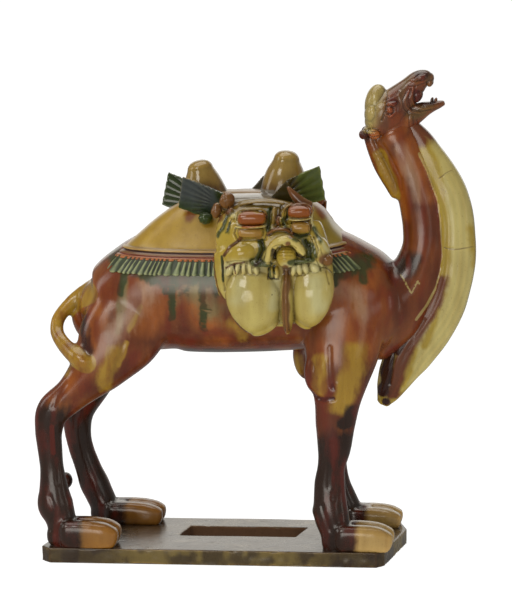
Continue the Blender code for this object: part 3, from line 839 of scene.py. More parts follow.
    rim: Path = ((0.283, 0.676), (0.296, 0.649), (0.305, 0.624), (0.314, 0.599), (0.3185, 0.566),
                 (0.3205, 0.533), (0.322, 0.508), (0.319, 0.484), (0.311, 0.455), (0.296, 0.426),
                 (0.278, 0.402))
    topknot: tuple[Lump, ...] = (Lump((0.2110, 0.0, 0.7565), (0.0195, 0.024, 0.0325), 9),
                                 Lump((0.2070, 0.0, 0.742), (0.0160, 0.029, 0.0240), 8))
    voxel: float = 0.0031

    def build(self) -> tuple[bpy.types.Object, bpy.types.Object]:
        """Model the camel and press in its carving.

        Returns:
            The body with the legs, and the head.
        """
        body = Clay()
        body.sweep(self.torso, square=2.2)
        body.sweep(self.neck)
        for leg in self.legs:
            body.sweep(leg, square=2.1)
        body.sweep(self.tail, sides=28)
        for lump in self.muscles:
            body.pair(lump)
        for lump in self.singles:
            body.lump(lump)
        soft = body.fuse("soft_body", 0.0026, 14)
        clay = Clay()
        points = read(soft)
        clay.points.append(points)
        clay.faces = [list(face.vertices) for face in soft.data.polygons]
        clay.count = len(points)
        bpy.data.objects.remove(soft, do_unlink=True)
        for side in (-1, 1):
            clay.sweep(tuple((x, side * 0.0225, z, 0.0020, 0.0030) for x, z in self.rim), sides=16)
        clay.sweep(self.mane, square=2.4)
        for foot in self.feet:
            self.add_foot(clay, *foot)
        piece = clay.fuse("glazed_camel", self.voxel, 3)
        self.carve(piece)
        thin(piece, 192000)
        return piece, self.head()

    def head(self) -> bpy.types.Object:
        """Model the skull, the open jaws, the folds and the topknot.

        Returns:
            The head.
        """
        clay = Clay()
        clay.sweep(self.skull, square=2.2)
        clay.sweep(self.jaw, square=2.2)
        for lump in (*self.face, *self.teeth):
            clay.pair(lump)
        for lump in self.topknot:
            clay.lump(lump)
        piece = clay.fuse("camel_head", 0.0007, 5)
        self.carve(piece)
        thin(piece, 96000)
        return piece

    def add_foot(self, clay: Clay, heel_x: float, toe_x: float, y: float, top: float) -> None:
        """Add a broad foot of two blunt toes with a pad behind them.

        Args:
            clay: Where it is added.
            heel_x: Where the heel ends.
            toe_x: Where the toes end.
            y: The foot's middle line.
            top: The height of the toes.
        """
        length = toe_x - heel_x
        low = PLINTH_TOP - self.foot_sink
        half = (top - low) / 2
        for side in (-1, 1):
            middle = y + side * self.toe_spread
            clay.sweep(tuple((heel_x + length * at, middle, low + half * share, half * share, wide)
                             for at, share, wide in self.toe), square=3.0)
        clay.sweep(tuple((heel_x + length * at, y, z, thick, wide)
                         for at, z, thick, wide in self.heel), square=2.6)

    def carve(self, piece: bpy.types.Object) -> None:
        """Press the folds, tendons and hair lines into the clay."""
        points = read(piece)
        x, _, z = points.T
        uneven = 0.00035 * mottle(points, 0.03, 3) + 0.0005 * mottle(points, 0.07, 4)
        legs = smoothstep(0.27, 0.20, z) * smoothstep(0.030, 0.045, z)
        uneven += 0.0003 * mottle(points * np.array([1, 1, 0.2]), 0.008, 5) * legs
        mane = smoothstep(0.016, 0.006, path_distance(
            points[:, [0, 2]], ((0.199, 0.712), (0.220, 0.655), (0.244, 0.607))))
        uneven += 0.0003 * np.sin(x * 1700 + z * 700 + 2 * mottle(points, 0.02, 7)) * mane
        grooves = (
            Groove(((0.229, 0.7535), (0.2355, 0.7560), (0.242, 0.7520), (0.2425, 0.7450),
                    (0.2365, 0.7405), (0.2300, 0.7435), (0.229, 0.7535)), 0.0012, 0.0007),
            Groove(((0.2275, 0.757), (0.236, 0.7600), (0.244, 0.7540), (0.2445, 0.744),
                    (0.236, 0.7365), (0.2280, 0.741)), 0.0014, -0.0006),
            Groove(((0.2315, 0.7485), (0.2400, 0.7480)), 0.0008, 0.0004),
            Groove(((0.226, 0.764), (0.238, 0.7690), (0.250, 0.778)), 0.0020, 0.0006),
            Groove(((0.273, 0.784), (0.270, 0.767), (0.275, 0.753), (0.289, 0.7485), (0.306, 0.7515),
                    (0.319, 0.7555)), 0.0018, -0.0011),
            Groove(((0.2695, 0.782), (0.2655, 0.766), (0.269, 0.750), (0.286, 0.7450),
                    (0.302, 0.7475)), 0.0011, 0.0007),
            Groove(((0.267, 0.779), (0.260, 0.764), (0.262, 0.753), (0.270, 0.744), (0.283, 0.742)),
                   0.0015, -0.0012),
            Groove(((0.262, 0.777), (0.2555, 0.764), (0.258, 0.750), (0.266, 0.741)), 0.0012, 0.0007),
            Groove(((0.250, 0.773), (0.255, 0.759), (0.252, 0.748)), 0.0017, -0.0005),
            Groove(((0.277, 0.786), (0.2745, 0.770), (0.279, 0.757), (0.292, 0.7535)), 0.0013, 0.0007),
            Groove(((0.266, 0.788), (0.277, 0.7865), (0.288, 0.7900), (0.297, 0.7935)), 0.0013, 0.0006),
            Groove(((0.276, 0.800), (0.282, 0.8045), (0.291, 0.8055)), 0.0013, 0.0007),
            Groove(((0.279, 0.795), (0.287, 0.7965)), 0.0012, 0.0009),
            Groove(((0.270, 0.796), (0.278, 0.7905), (0.290, 0.7935)), 0.0012, -0.0005),
            Groove(((0.266, 0.739), (0.2665, 0.720), (0.267, 0.704)), 0.0015, 0.0007),
            Groove(((0.273, 0.736), (0.2735, 0.720), (0.274, 0.703)), 0.0015, 0.0007),
            Groove(((0.279, 0.731), (0.2795, 0.722), (0.281, 0.712)), 0.0013, 0.0006),
            Groove(((0.199, 0.716), (0.208, 0.7135), (0.217, 0.7155)), 0.0010, 0.0012),
            Groove(((0.199, 0.7055), (0.209, 0.7040), (0.219, 0.7070)), 0.0010, 0.0012),
            Groove(((0.208, 0.698), (0.219, 0.6750), (0.230, 0.655), (0.241, 0.630), (0.249, 0.611)),
                   0.0020, 0.0016),
            Groove(((0.203, 0.700), (0.213, 0.6740), (0.225, 0.650), (0.237, 0.624)), 0.0016, -0.0008),
            Groove(((0.216, 0.700), (0.230, 0.681), (0.243, 0.656), (0.254, 0.633), (0.254, 0.615)),
                   0.0016, 0.0014),
            Groove(((0.213, 0.698), (0.225, 0.684), (0.239, 0.659), (0.2495, 0.637)), 0.0014, -0.0014),
            Groove(((0.226, 0.785), (0.231, 0.7690), (0.229, 0.750), (0.222, 0.732)), 0.0018, 0.0010),
            Groove(((0.140, 0.365), (0.141, 0.330), (0.144, 0.303)), 0.0040, 0.0016, Side.NEAR),
            Groove(((0.146, 0.298),), 0.0026, 0.0026, Side.NEAR),
            Groove(((0.101, 0.290), (0.113, 0.2815), (0.130, 0.2785), (0.147, 0.2805)), 0.0030, 0.0034,
                   Side.NEAR),
            Groove(((0.116, 0.342), (0.113, 0.315), (0.112, 0.296)), 0.0016, 0.0008, Side.NEAR),
            Groove(((0.132, 0.340), (0.130, 0.315), (0.129, 0.294)), 0.0016, 0.0008, Side.NEAR),
            Groove(((0.152, 0.305), (0.154, 0.296)), 0.0028, -0.0010, Side.NEAR),
            Groove(((-0.203, 0.368), (-0.210, 0.345), (-0.222, 0.318)), 0.0040, 0.0014),
            Groove(((-0.300, 0.300), (-0.316, 0.278), (-0.322, 0.262)), 0.0040, 0.0018),
            Groove(((-0.305, 0.262), (-0.310, 0.240), (-0.314, 0.215)), 0.0035, 0.0014),
            Groove(((-0.318, 0.225), (-0.320, 0.180), (-0.316, 0.130)), 0.0030, 0.0012, Side.NEAR),
            Groove(((-0.300, 0.200), (-0.298, 0.150), (-0.288, 0.115)), 0.0030, 0.0012, Side.FAR),
            Groove(((-0.330, 0.110), (-0.322, 0.088), (-0.326, 0.070)), 0.0032, 0.0016, Side.NEAR),
            Groove(((0.140, 0.205), (0.138, 0.170), (0.136, 0.130)), 0.0030, 0.0014, Side.NEAR),
            Groove(((0.151, 0.180), (0.147, 0.140), (0.146, 0.110)), 0.0026, 0.0012, Side.NEAR),
            Groove(((0.125, 0.100), (0.133, 0.074), (0.139, 0.060)), 0.0030, 0.0016, Side.NEAR),
            Groove(((0.253, 0.477), (0.259, 0.469), (0.271, 0.447), (0.276, 0.457), (0.281, 0.467),
                    (0.284, 0.462)), 0.0009, 0.0005, Side.NEAR))
        press(piece, grooves, uneven)

    def dress(self, piece: bpy.types.Object, tools: GlazeTools) -> None:
        """Lay the glazes on the camel, with some sheen and highlights painted in.

        Args:
            piece: The camel.
            tools: The shared node groups.
        """
        points = read(piece)
        x, y, z = points.T
        put_field(piece, "pool", hollows(piece, 5))
        rust = (Stroke(((0.286, 0.570), (0.291, 0.545), (0.290, 0.510), (0.272, 0.463), (0.250, 0.43)),
                       0.048, 1.3), Stroke(((0.250, 0.49), (0.262, 0.44)), 0.045),
                Stroke(((0.250, 0.690), (0.262, 0.640), (0.272, 0.580)), 0.008, 0.8),
                Stroke(((0.292, 0.660), (0.303, 0.610), (0.308, 0.560)), 0.007, 0.7),
                Stroke(((0.216, 0.714), (0.234, 0.706), (0.252, 0.699), (0.266, 0.706)), 0.0075, 1.2),
                Stroke(((0.254, 0.694), (0.262, 0.676)), 0.0060, 0.9),
                Stroke(((-0.190, 0.372), (-0.130, 0.372), (0.040, 0.362)), 0.022, 1.1),
                Stroke(((-0.106, 0.430), (-0.102, 0.380)), 0.010, 0.8),
                Stroke(((-0.125, 0.395), (-0.090, 0.372)), 0.024, 0.9),
                Stroke(((0.190, 0.395), (0.215, 0.430), (0.225, 0.470)), 0.014, 0.7),
                Stroke(((0.110, 0.400), (0.115, 0.345)), 0.014, 0.8),
                Stroke(((-0.183, 0.345), (-0.230, 0.300), (-0.262, 0.290)), 0.020, 0.9),
                Stroke(((-0.285, 0.330), (-0.300, 0.290)), 0.020, 0.8),
                Stroke(((0.138, 0.370), (0.142, 0.310)), 0.006),
                Stroke(((-0.208, 0.365), (-0.219, 0.335), (-0.229, 0.310)), 0.004))
        runs = points * np.array([1.0, 1.0, 0.35])
        neck = smoothstep(0.50, 0.56, z)
        rusty = 1.1 * mottle(runs, 0.016, 61) - 0.50 + 0.45 * neck
        paint(piece, "rust", rust, 11, np.maximum(
            np.minimum((0.366 - z) / 0.02, (x + 0.2) / 0.02), rusty))
        orange = (Stroke(((-0.250, 0.455), (-0.266, 0.410), (-0.262, 0.370)), 0.026),
                  Stroke(((-0.180, 0.460), (-0.165, 0.420)), 0.016, 0.8),
                  Stroke(((-0.135, 0.440), (-0.150, 0.410), (-0.168, 0.398)), 0.020, 0.8),
                  Stroke(((-0.085, 0.430), (-0.078, 0.405)), 0.013, 0.8),
                  Stroke(((0.150, 0.430), (0.165, 0.400), (0.150, 0.365)), 0.030, 0.8),
                  Stroke(((0.205, 0.470), (0.215, 0.420), (0.200, 0.360)), 0.018, 0.7),
                  Stroke(((-0.275, 0.320), (-0.290, 0.300)), 0.016),
                  Stroke(((0.157, 0.232), (0.155, 0.212)), 0.007),
                  Stroke(((0.297, 0.690), (0.290, 0.665)), 0.012),
                  Stroke(((0.246, 0.732), (0.247, 0.720), (0.243, 0.708)), 0.010, 1.1),
                  Stroke(((0.268, 0.693), (0.284, 0.655), (0.297, 0.610)), 0.014),
                  Stroke(((0.244, 0.660), (0.254, 0.610), (0.262, 0.570)), 0.009, 0.8),
                  Stroke(((-0.060, 0.400), (-0.040, 0.372)), 0.014, 0.8))
        paint(piece, "orange", orange, 21,
              np.minimum(1.1 * mottle(runs, 0.019, 63) - 0.60, (z - 0.34) / 0.02))
        straw = (Stroke(((-0.216, 0.355), (-0.229, 0.327), (-0.236, 0.300)), 0.0135, 1.1),
                 Stroke(((-0.199, 0.372), (-0.206, 0.352), (-0.211, 0.335)), 0.0048, 1.2),
                 Stroke(((-0.1745, 0.429), (-0.184, 0.410), (-0.192, 0.392)), 0.0045, 1.0),
                 Stroke(((0.180, 0.355), (0.178, 0.328), (0.169, 0.300), (0.158, 0.272)), 0.0200, 1.2),
                 Stroke(((0.124, 0.342), (0.125, 0.320), (0.121, 0.296)), 0.0115, 1.1),
                 Stroke(((0.066, 0.320), (0.072, 0.296)), 0.009, 0.5),
                 Stroke(((-0.290, 0.345), (-0.303, 0.320)), 0.007, 0.8),
                 Stroke(((0.219, 0.672), (0.2245, 0.652), (0.233, 0.630), (0.241, 0.608)), 0.0115, 1.7),
                 Stroke(((-0.025, 0.400), (-0.005, 0.378)), 0.007, 0.4))
        tail = smoothstep(0.022, 0.012, path_distance(
            points[:, [0, 2]], tuple((row[0], row[2]) for row in self.tail))) * 2.2 - 1
        feet = np.full(len(points), -1.0)
        for heel_x, toe_x, middle, top in self.feet:
            on = np.minimum((x - (heel_x + (toe_x - heel_x) * 0.52)) / 0.014,
                            (top + 0.012 - z) / 0.012)
            on = np.minimum(on, (0.06 - np.abs(y - middle)) / 0.01)
            feet = np.maximum(feet, np.minimum(on, (toe_x + 0.02 - x) / 0.01))
        tail = np.where((y < -0.008) | (x < -0.262), tail, -1)
        paint(piece, "straw", straw, 31, tail)
        put_field(piece, "toes", np.clip(feet, -1, 1))
        put_field(piece, "fore_toes", np.clip(np.where(x > 0, feet, -1), -1, 1))
        knot = np.minimum((0.0450 - np.hypot((x - 0.210) * 1.55, z - 0.752)) / 0.008,
                          (0.2190 + 0.33 * (z - 0.750) - x) / 0.016)
        put_field(piece, "knot", np.clip(np.where(z > 0.71, knot, -1), -1, 1))
        green = (Stroke(((-0.199, 0.505), (-0.203, 0.470), (-0.207, 0.452)), 0.0075, 1.3),
                 Stroke(((-0.232, 0.512), (-0.200, 0.496), (-0.160, 0.484), (-0.120, 0.478),
                         (-0.060, 0.478)), 0.013, 1.2),
                 Stroke(((0.130, 0.490), (0.160, 0.490), (0.195, 0.500)), 0.016, 1.2),
                 Stroke(((-0.121, 0.480), (-0.121, 0.440), (-0.122, 0.412)), 0.0068, 1.5),
                 Stroke(((-0.131, 0.478), (-0.133, 0.455)), 0.0040),
                 Stroke(((-0.069, 0.480), (-0.069, 0.430), (-0.069, 0.392)), 0.0064, 1.3),
                 Stroke(((-0.100, 0.478), (-0.098, 0.452)), 0.0050, 0.9),
                 Stroke(((-0.045, 0.478), (-0.045, 0.450)), 0.0060, 0.8),
                 Stroke(((0.194, 0.490), (0.194, 0.472)), 0.006),
                 Stroke(((0.148, 0.490), (0.150, 0.468)), 0.005),
                 Stroke(((-0.345, 0.240), (-0.345, 0.150)), 0.010, 0.7),
                 Stroke(((-0.309, 0.160), (-0.300, 0.110)), 0.008, 0.6))
        paint(piece, "green", green, 41)
        # Pale mint: the lower ends of the green drips are glaze; the broad stroke on the flank below the
        # fringe is a painted reflection.
        mint_drip_and_sheen = (Stroke(((-0.203, 0.468), (-0.206, 0.435), (-0.211, 0.392)), 0.0070, 1.1),
                Stroke(((-0.092, 0.462), (-0.070, 0.455), (-0.055, 0.430)), 0.020, 0.7),
                Stroke(((-0.119, 0.440), (-0.119, 0.418)), 0.0030, 0.8))
        paint(piece, "mint_drip_and_sheen", mint_drip_and_sheen, 45)
        # Painted sheen: pale streaks on the near side of the neck, the haunch and the shoulder stand in
        # for the soft glare on the glaze.
        painted_sheen = (Stroke(((0.2563, 0.6804), (0.2611, 0.6658), (0.2671, 0.6512), (0.2743, 0.6366),
                        (0.2791, 0.6220), (0.2827, 0.6049)), 0.0100, 1.0, Side.NEAR),
                Stroke(((-0.168, 0.458), (-0.188, 0.428), (-0.213, 0.385)), 0.0170, 0.9, Side.NEAR),
                Stroke(((0.149, 0.462), (0.178, 0.455), (0.192, 0.425)), 0.0120, 0.7, Side.NEAR))
        paint(piece, "painted_sheen", painted_sheen, 48)
        rear = np.clip((x + 0.10) / -0.02, 0, 1)
        limit = 0.220 + 0.040 * rear + 0.012 * mottle(points, 0.02, 8)
        dark = np.minimum((limit - z) / 0.035, (z - PLINTH_TOP + 0.01) / 0.004)
        belly = np.minimum((0.352 - z) / 0.008, np.minimum((x + 0.11) / 0.03, (0.050 - x) / 0.01))
        lower = (Stroke(((0.245, 0.500), (0.262, 0.485), (0.270, 0.500)), 0.016, 0.8),
                 Stroke(((0.178, 0.262), (0.170, 0.240), (0.160, 0.236)), 0.010, 0.9),
                 Stroke(((0.302, 0.7605), (0.283, 0.7610), (0.281, 0.776)), 0.006, 1.2),
                 Stroke(((0.226, 0.766), (0.236, 0.7640), (0.244, 0.760)), 0.0040, 0.8),
                 Stroke(((0.283, 0.8060), (0.296, 0.8040)), 0.0060, 0.5),
                 Stroke(((0.101, 0.288), (0.113, 0.280), (0.130, 0.277), (0.147, 0.279)), 0.0036, 0.9),
                 Stroke(((0.145, 0.302), (0.148, 0.293)), 0.0032, 0.9),
                 Stroke(((0.190, 0.703), (0.192, 0.713)), 0.0100, 0.8),
                 Stroke(((-0.276, 0.405), (-0.262, 0.360)), 0.010, 0.5))
        paint(piece, "dark", lower, 51, np.maximum(dark, belly))
        put_field(piece, "ember", np.clip(np.maximum(
            Stroke(((-0.326, 0.228), (-0.324, 0.182)), 0.0035, 1.3, Side.NEAR).cover(
                points[:, [0, 2]], y),
            0.5 * mottle(points * np.array([1, 1, 0.25]), 0.012, 9) - 0.12), -1, 1))
        paint(piece, "muzzle", (
            Stroke(((0.273, 0.785), (0.270, 0.767), (0.276, 0.751), (0.292, 0.7485), (0.318, 0.7555)),
                   0.0042, 1.2),
            Stroke(((0.266, 0.738), (0.276, 0.740), (0.288, 0.742)), 0.0060, 0.8),
            Stroke(((0.258, 0.790), (0.272, 0.795), (0.284, 0.790)), 0.0055, 0.8),
            Stroke(((0.226, 0.770), (0.224, 0.750), (0.222, 0.732)), 0.0055, 0.9)), 56,
            np.where(z < 0.70, -1.0, -0.9))
        paint(piece, "cheek", (
            Stroke(((0.246, 0.732), (0.247, 0.720), (0.243, 0.710)), 0.0105, 1.2),
            Stroke(((0.236, 0.748),), 0.0038, 0.9),
            Stroke(((0.205, 0.710), (0.214, 0.709)), 0.0070, 1.0),
            Stroke(((0.256, 0.712), (0.262, 0.728)), 0.0050, 0.5)), 58)
        head = np.minimum((z - 0.712 + (0.21 - x) * 0.3) / 0.02, (x - 0.212) / 0.01)
        put_field(piece, "head", np.clip(head, -1, 1))
        # Pale lines: the scratch on the chest and the beard's rim line are glaze; the line along the
        # mane's ridge is a painted highlight.
        put_field(piece, "scratch_and_ridge_highlight", np.clip(np.maximum(
            Stroke(((0.253, 0.477), (0.259, 0.469), (0.271, 0.447), (0.276, 0.457), (0.281, 0.467),
                    (0.284, 0.462)), 0.0014, 1.1, Side.NEAR).cover(points[:, [0, 2]], y),
            Stroke(self.rim, 0.0022, 1.0).cover(points[:, [0, 2]], y),
            Stroke(((0.213, 0.698), (0.225, 0.684), (0.239, 0.659), (0.2495, 0.637)), 0.0024, 0.6).cover(
                points[:, [0, 2]], y)), -1, 1))
        finish = SancaiFinish("amber_glaze", AMBER, (
            GlazeLayer("rust", RUST, 0.9, 0.8, 1.6, 0.85),
            GlazeLayer("orange", ORANGE, 0.9, 0.8, 1.6, 0.8),
            GlazeLayer("straw", STRAW, 0.5, 0.9, 1.2, 0.85),
            GlazeLayer("head", glaze_rgb(92, 66, 42), 0.6, 0.5, 0.3, 0.85),
            GlazeLayer("muzzle", glaze_rgb(92, 70, 34), 0.7, 1.2, 0.2, 0.85),
            GlazeLayer("cheek", glaze_rgb(140, 78, 26), 0.8, 0.9, 0.6, 0.85),
            # mint drip ends, and the painted reflection on the flank
            GlazeLayer("mint_drip_and_sheen", glaze_rgb(112, 116, 76), 0.6, 0.9, 1.6, 0.6),
            # the painted sheen, a pale pinkish grey
            GlazeLayer("painted_sheen", glaze_rgb(158, 126, 98), 0.8, 1.5, 1.8, 0.6),
            GlazeLayer("green", GREEN, 0.4, 0.9, 1.6, 0.9),
            GlazeLayer("dark", BLACK_BROWN, 0.35, 0.6, 1.0),
            GlazeLayer("ember", glaze_rgb(100, 28, 14), 0.3, 0.5, 0.5, 0.6),
            GlazeLayer("toes", glaze_rgb(138, 94, 36), 0.5, 0.7, 0.6),
            GlazeLayer("fore_toes", glaze_rgb(178, 148, 88), 0.6, 1.2, 0.8, 0.85),
            GlazeLayer("knot", glaze_rgb(152, 136, 80), 0.8, 0.8, 0.3),
            # scratches, and the painted highlight on the mane's ridge
            GlazeLayer("scratch_and_ridge_highlight", CREAM, 0.3, 0.8, 0.2, 0.6)),
            relief=0.2, coat_roughness=0.2, streaks=0.5)
        ready = bpy.data.materials.get(finish.name)
        piece.data.materials.append(ready or finish.material(tools))


@dataclass
class Beard:
    """The long beard that runs down from the chin past the chest."""

    stations: tuple[Row, ...] = (
        (0.262, 0.0, 0.728, 0.0100, 0.012), (0.283, 0.0, 0.700, 0.0180, 0.018),
        (0.298, 0.0, 0.671, 0.0240, 0.022), (0.313, 0.0, 0.643, 0.0285, 0.024),
        (0.328, 0.0, 0.610, 0.0315, 0.026), (0.338, 0.0, 0.572, 0.0325, 0.027),
        (0.341, 0.0, 0.530, 0.0335, 0.028), (0.340, 0.0, 0.493, 0.0340, 0.028),
        (0.333, 0.0, 0.456, 0.0345, 0.028), (0.320, 0.0, 0.419, 0.0360, 0.027),
        (0.296, 0.0, 0.379, 0.0380, 0.025), (0.266, 0.0, 0.341, 0.0380, 0.022),
        (0.244, 0.0, 0.307, 0.0315, 0.019), (0.230, 0.0, 0.276, 0.0220, 0.014),
        (0.221, 0.0, 0.257, 0.0120, 0.009))

    def middle(self) -> Path:
        """Give the beard's middle line, side-on."""
        return tuple((row[0], row[2]) for row in blend_rows(self.stations, 4))

    def build(self) -> bpy.types.Object:
        """Model the beard with its shallow locks.

        Returns:
            The beard.
        """
        clay = Clay()
        clay.sweep(self.stations, square=2.4, sides=120, steps=26)
        piece = clay.item("glazed_beard")
        points = read(piece)
        middle = np.array(self.middle())
        nearest = np.argmin(((points[:, None, [0, 2]] - middle[None]) ** 2).sum(2), axis=1)
        ahead = np.gradient(middle, axis=0)
        ahead /= np.linalg.norm(ahead, axis=1)[:, None]
        offset = points[:, [0, 2]] - middle[nearest]
        across = offset[:, 0] * -ahead[nearest, 1] + offset[:, 1] * ahead[nearest, 0]
        locks = np.sin(across * 620 + 1.6 * mottle(points, 0.05, 61)
                       + nearest * 0.05) * smoothstep(0.0, 0.5, nearest / len(middle))
        uneven = 0.00022 * locks + 0.0004 * mottle(points, 0.025, 62)
        grooves = (Groove(((0.324, 0.520), (0.347, 0.519), (0.372, 0.521)), 0.0007, 0.0007),
                   Groove(((0.317, 0.636), (0.327, 0.642), (0.339, 0.646)), 0.0007, 0.0005),
                   Groove(((0.255, 0.395), (0.240, 0.345), (0.232, 0.290)), 0.0030, 0.0014),
                   Groove(((0.290, 0.400), (0.262, 0.350), (0.244, 0.305)), 0.0022, 0.0010))
        press(piece, grooves, uneven)
        put_field(piece, "across", across)
        return piece

    def dress(self, piece: bpy.types.Object, tools: GlazeTools) -> None:
        """Lay the cream glaze with its yellow and brown runs.

        Args:
            piece: The beard.
            tools: The shared node groups.
        """
        points = read(piece)
        z = points[:, 2]
        put_field(piece, "pool", hollows(piece))
        band = ((0.292, 0.690), (0.305, 0.655), (0.315, 0.618), (0.322, 0.570), (0.325, 0.520),
                (0.324, 0.480), (0.318, 0.460))
        paint(piece, "butter", (Stroke(band, 0.0105, 1.2),
                                Stroke(((0.375, 0.49), (0.368, 0.55)), 0.006, 0.5),
                                Stroke(((0.322, 0.445), (0.305, 0.395), (0.290, 0.355)), 0.006, 0.9),
                                Stroke(((0.272, 0.348), (0.262, 0.316), (0.252, 0.287)), 0.0080, 1.2)),
              71, (0.285 - z) / 0.02)
        paint(piece, "brown", (Stroke(((0.318, 0.462), (0.305, 0.427), (0.288, 0.392), (0.262, 0.352),
                                       (0.246, 0.310), (0.236, 0.275)), 0.0125, 1.2),
                               Stroke(((0.262, 0.724), (0.284, 0.700)), 0.016, 1.0)), 72,
              (z - 0.694) / 0.02)
        paint(piece, "black", (Stroke(((0.236, 0.365), (0.228, 0.325), (0.221, 0.277)), 0.0110, 1.3),
                               Stroke(((0.262, 0.372), (0.246, 0.345)), 0.006, 0.8),
                               Stroke(((0.224, 0.258),), 0.007)), 73)
        paint(piece, "crack", (Stroke(((0.324, 0.520), (0.347, 0.519), (0.372, 0.521)), 0.0009, 1.0),
                               Stroke(((0.317, 0.636), (0.327, 0.642), (0.339, 0.646)), 0.0008, 0.8),
                               Stroke(((0.319, 0.619), (0.330, 0.611)), 0.0008, 0.6)), 74)
        finish = SancaiFinish("cream_glaze", CREAM, (
            GlazeLayer("butter", glaze_rgb(154, 128, 28), 0.6, 0.8, 0.6, 0.85),
            GlazeLayer("brown", glaze_rgb(96, 40, 20), 0.5, 0.8, 0.9, 0.95),
            GlazeLayer("black", glaze_rgb(54, 26, 18), 0.3, 0.5, 0.8),
            GlazeLayer("crack", glaze_rgb(110, 90, 56), 0.5, 0.3, 0.1, 0.7)),
            pooling=0.5, streaks=0.32, coat_roughness=0.22)
        piece.data.materials.append(finish.material(tools))


def even_angles(count: int, half_length: float, half_width: float, square: float) -> np.ndarray:
    """Space angles so that their points are evenly apart on a boxy ring.

    Args:
        count: How many angles.
        half_length: Half the ring's length.
        half_width: Half its width.
        square: How boxy it is.

    Returns:
        The angles.
    """
    fine = np.linspace(0, 2 * math.pi, 8001)
    c, s = boxy_ring(fine, square)
    step = np.hypot(np.diff(c * half_length), np.diff(s * half_width))
    total = np.concatenate(((0.0,), np.cumsum(step)))
    return np.interp(np.arange(count) / count * total[-1], total, fine)


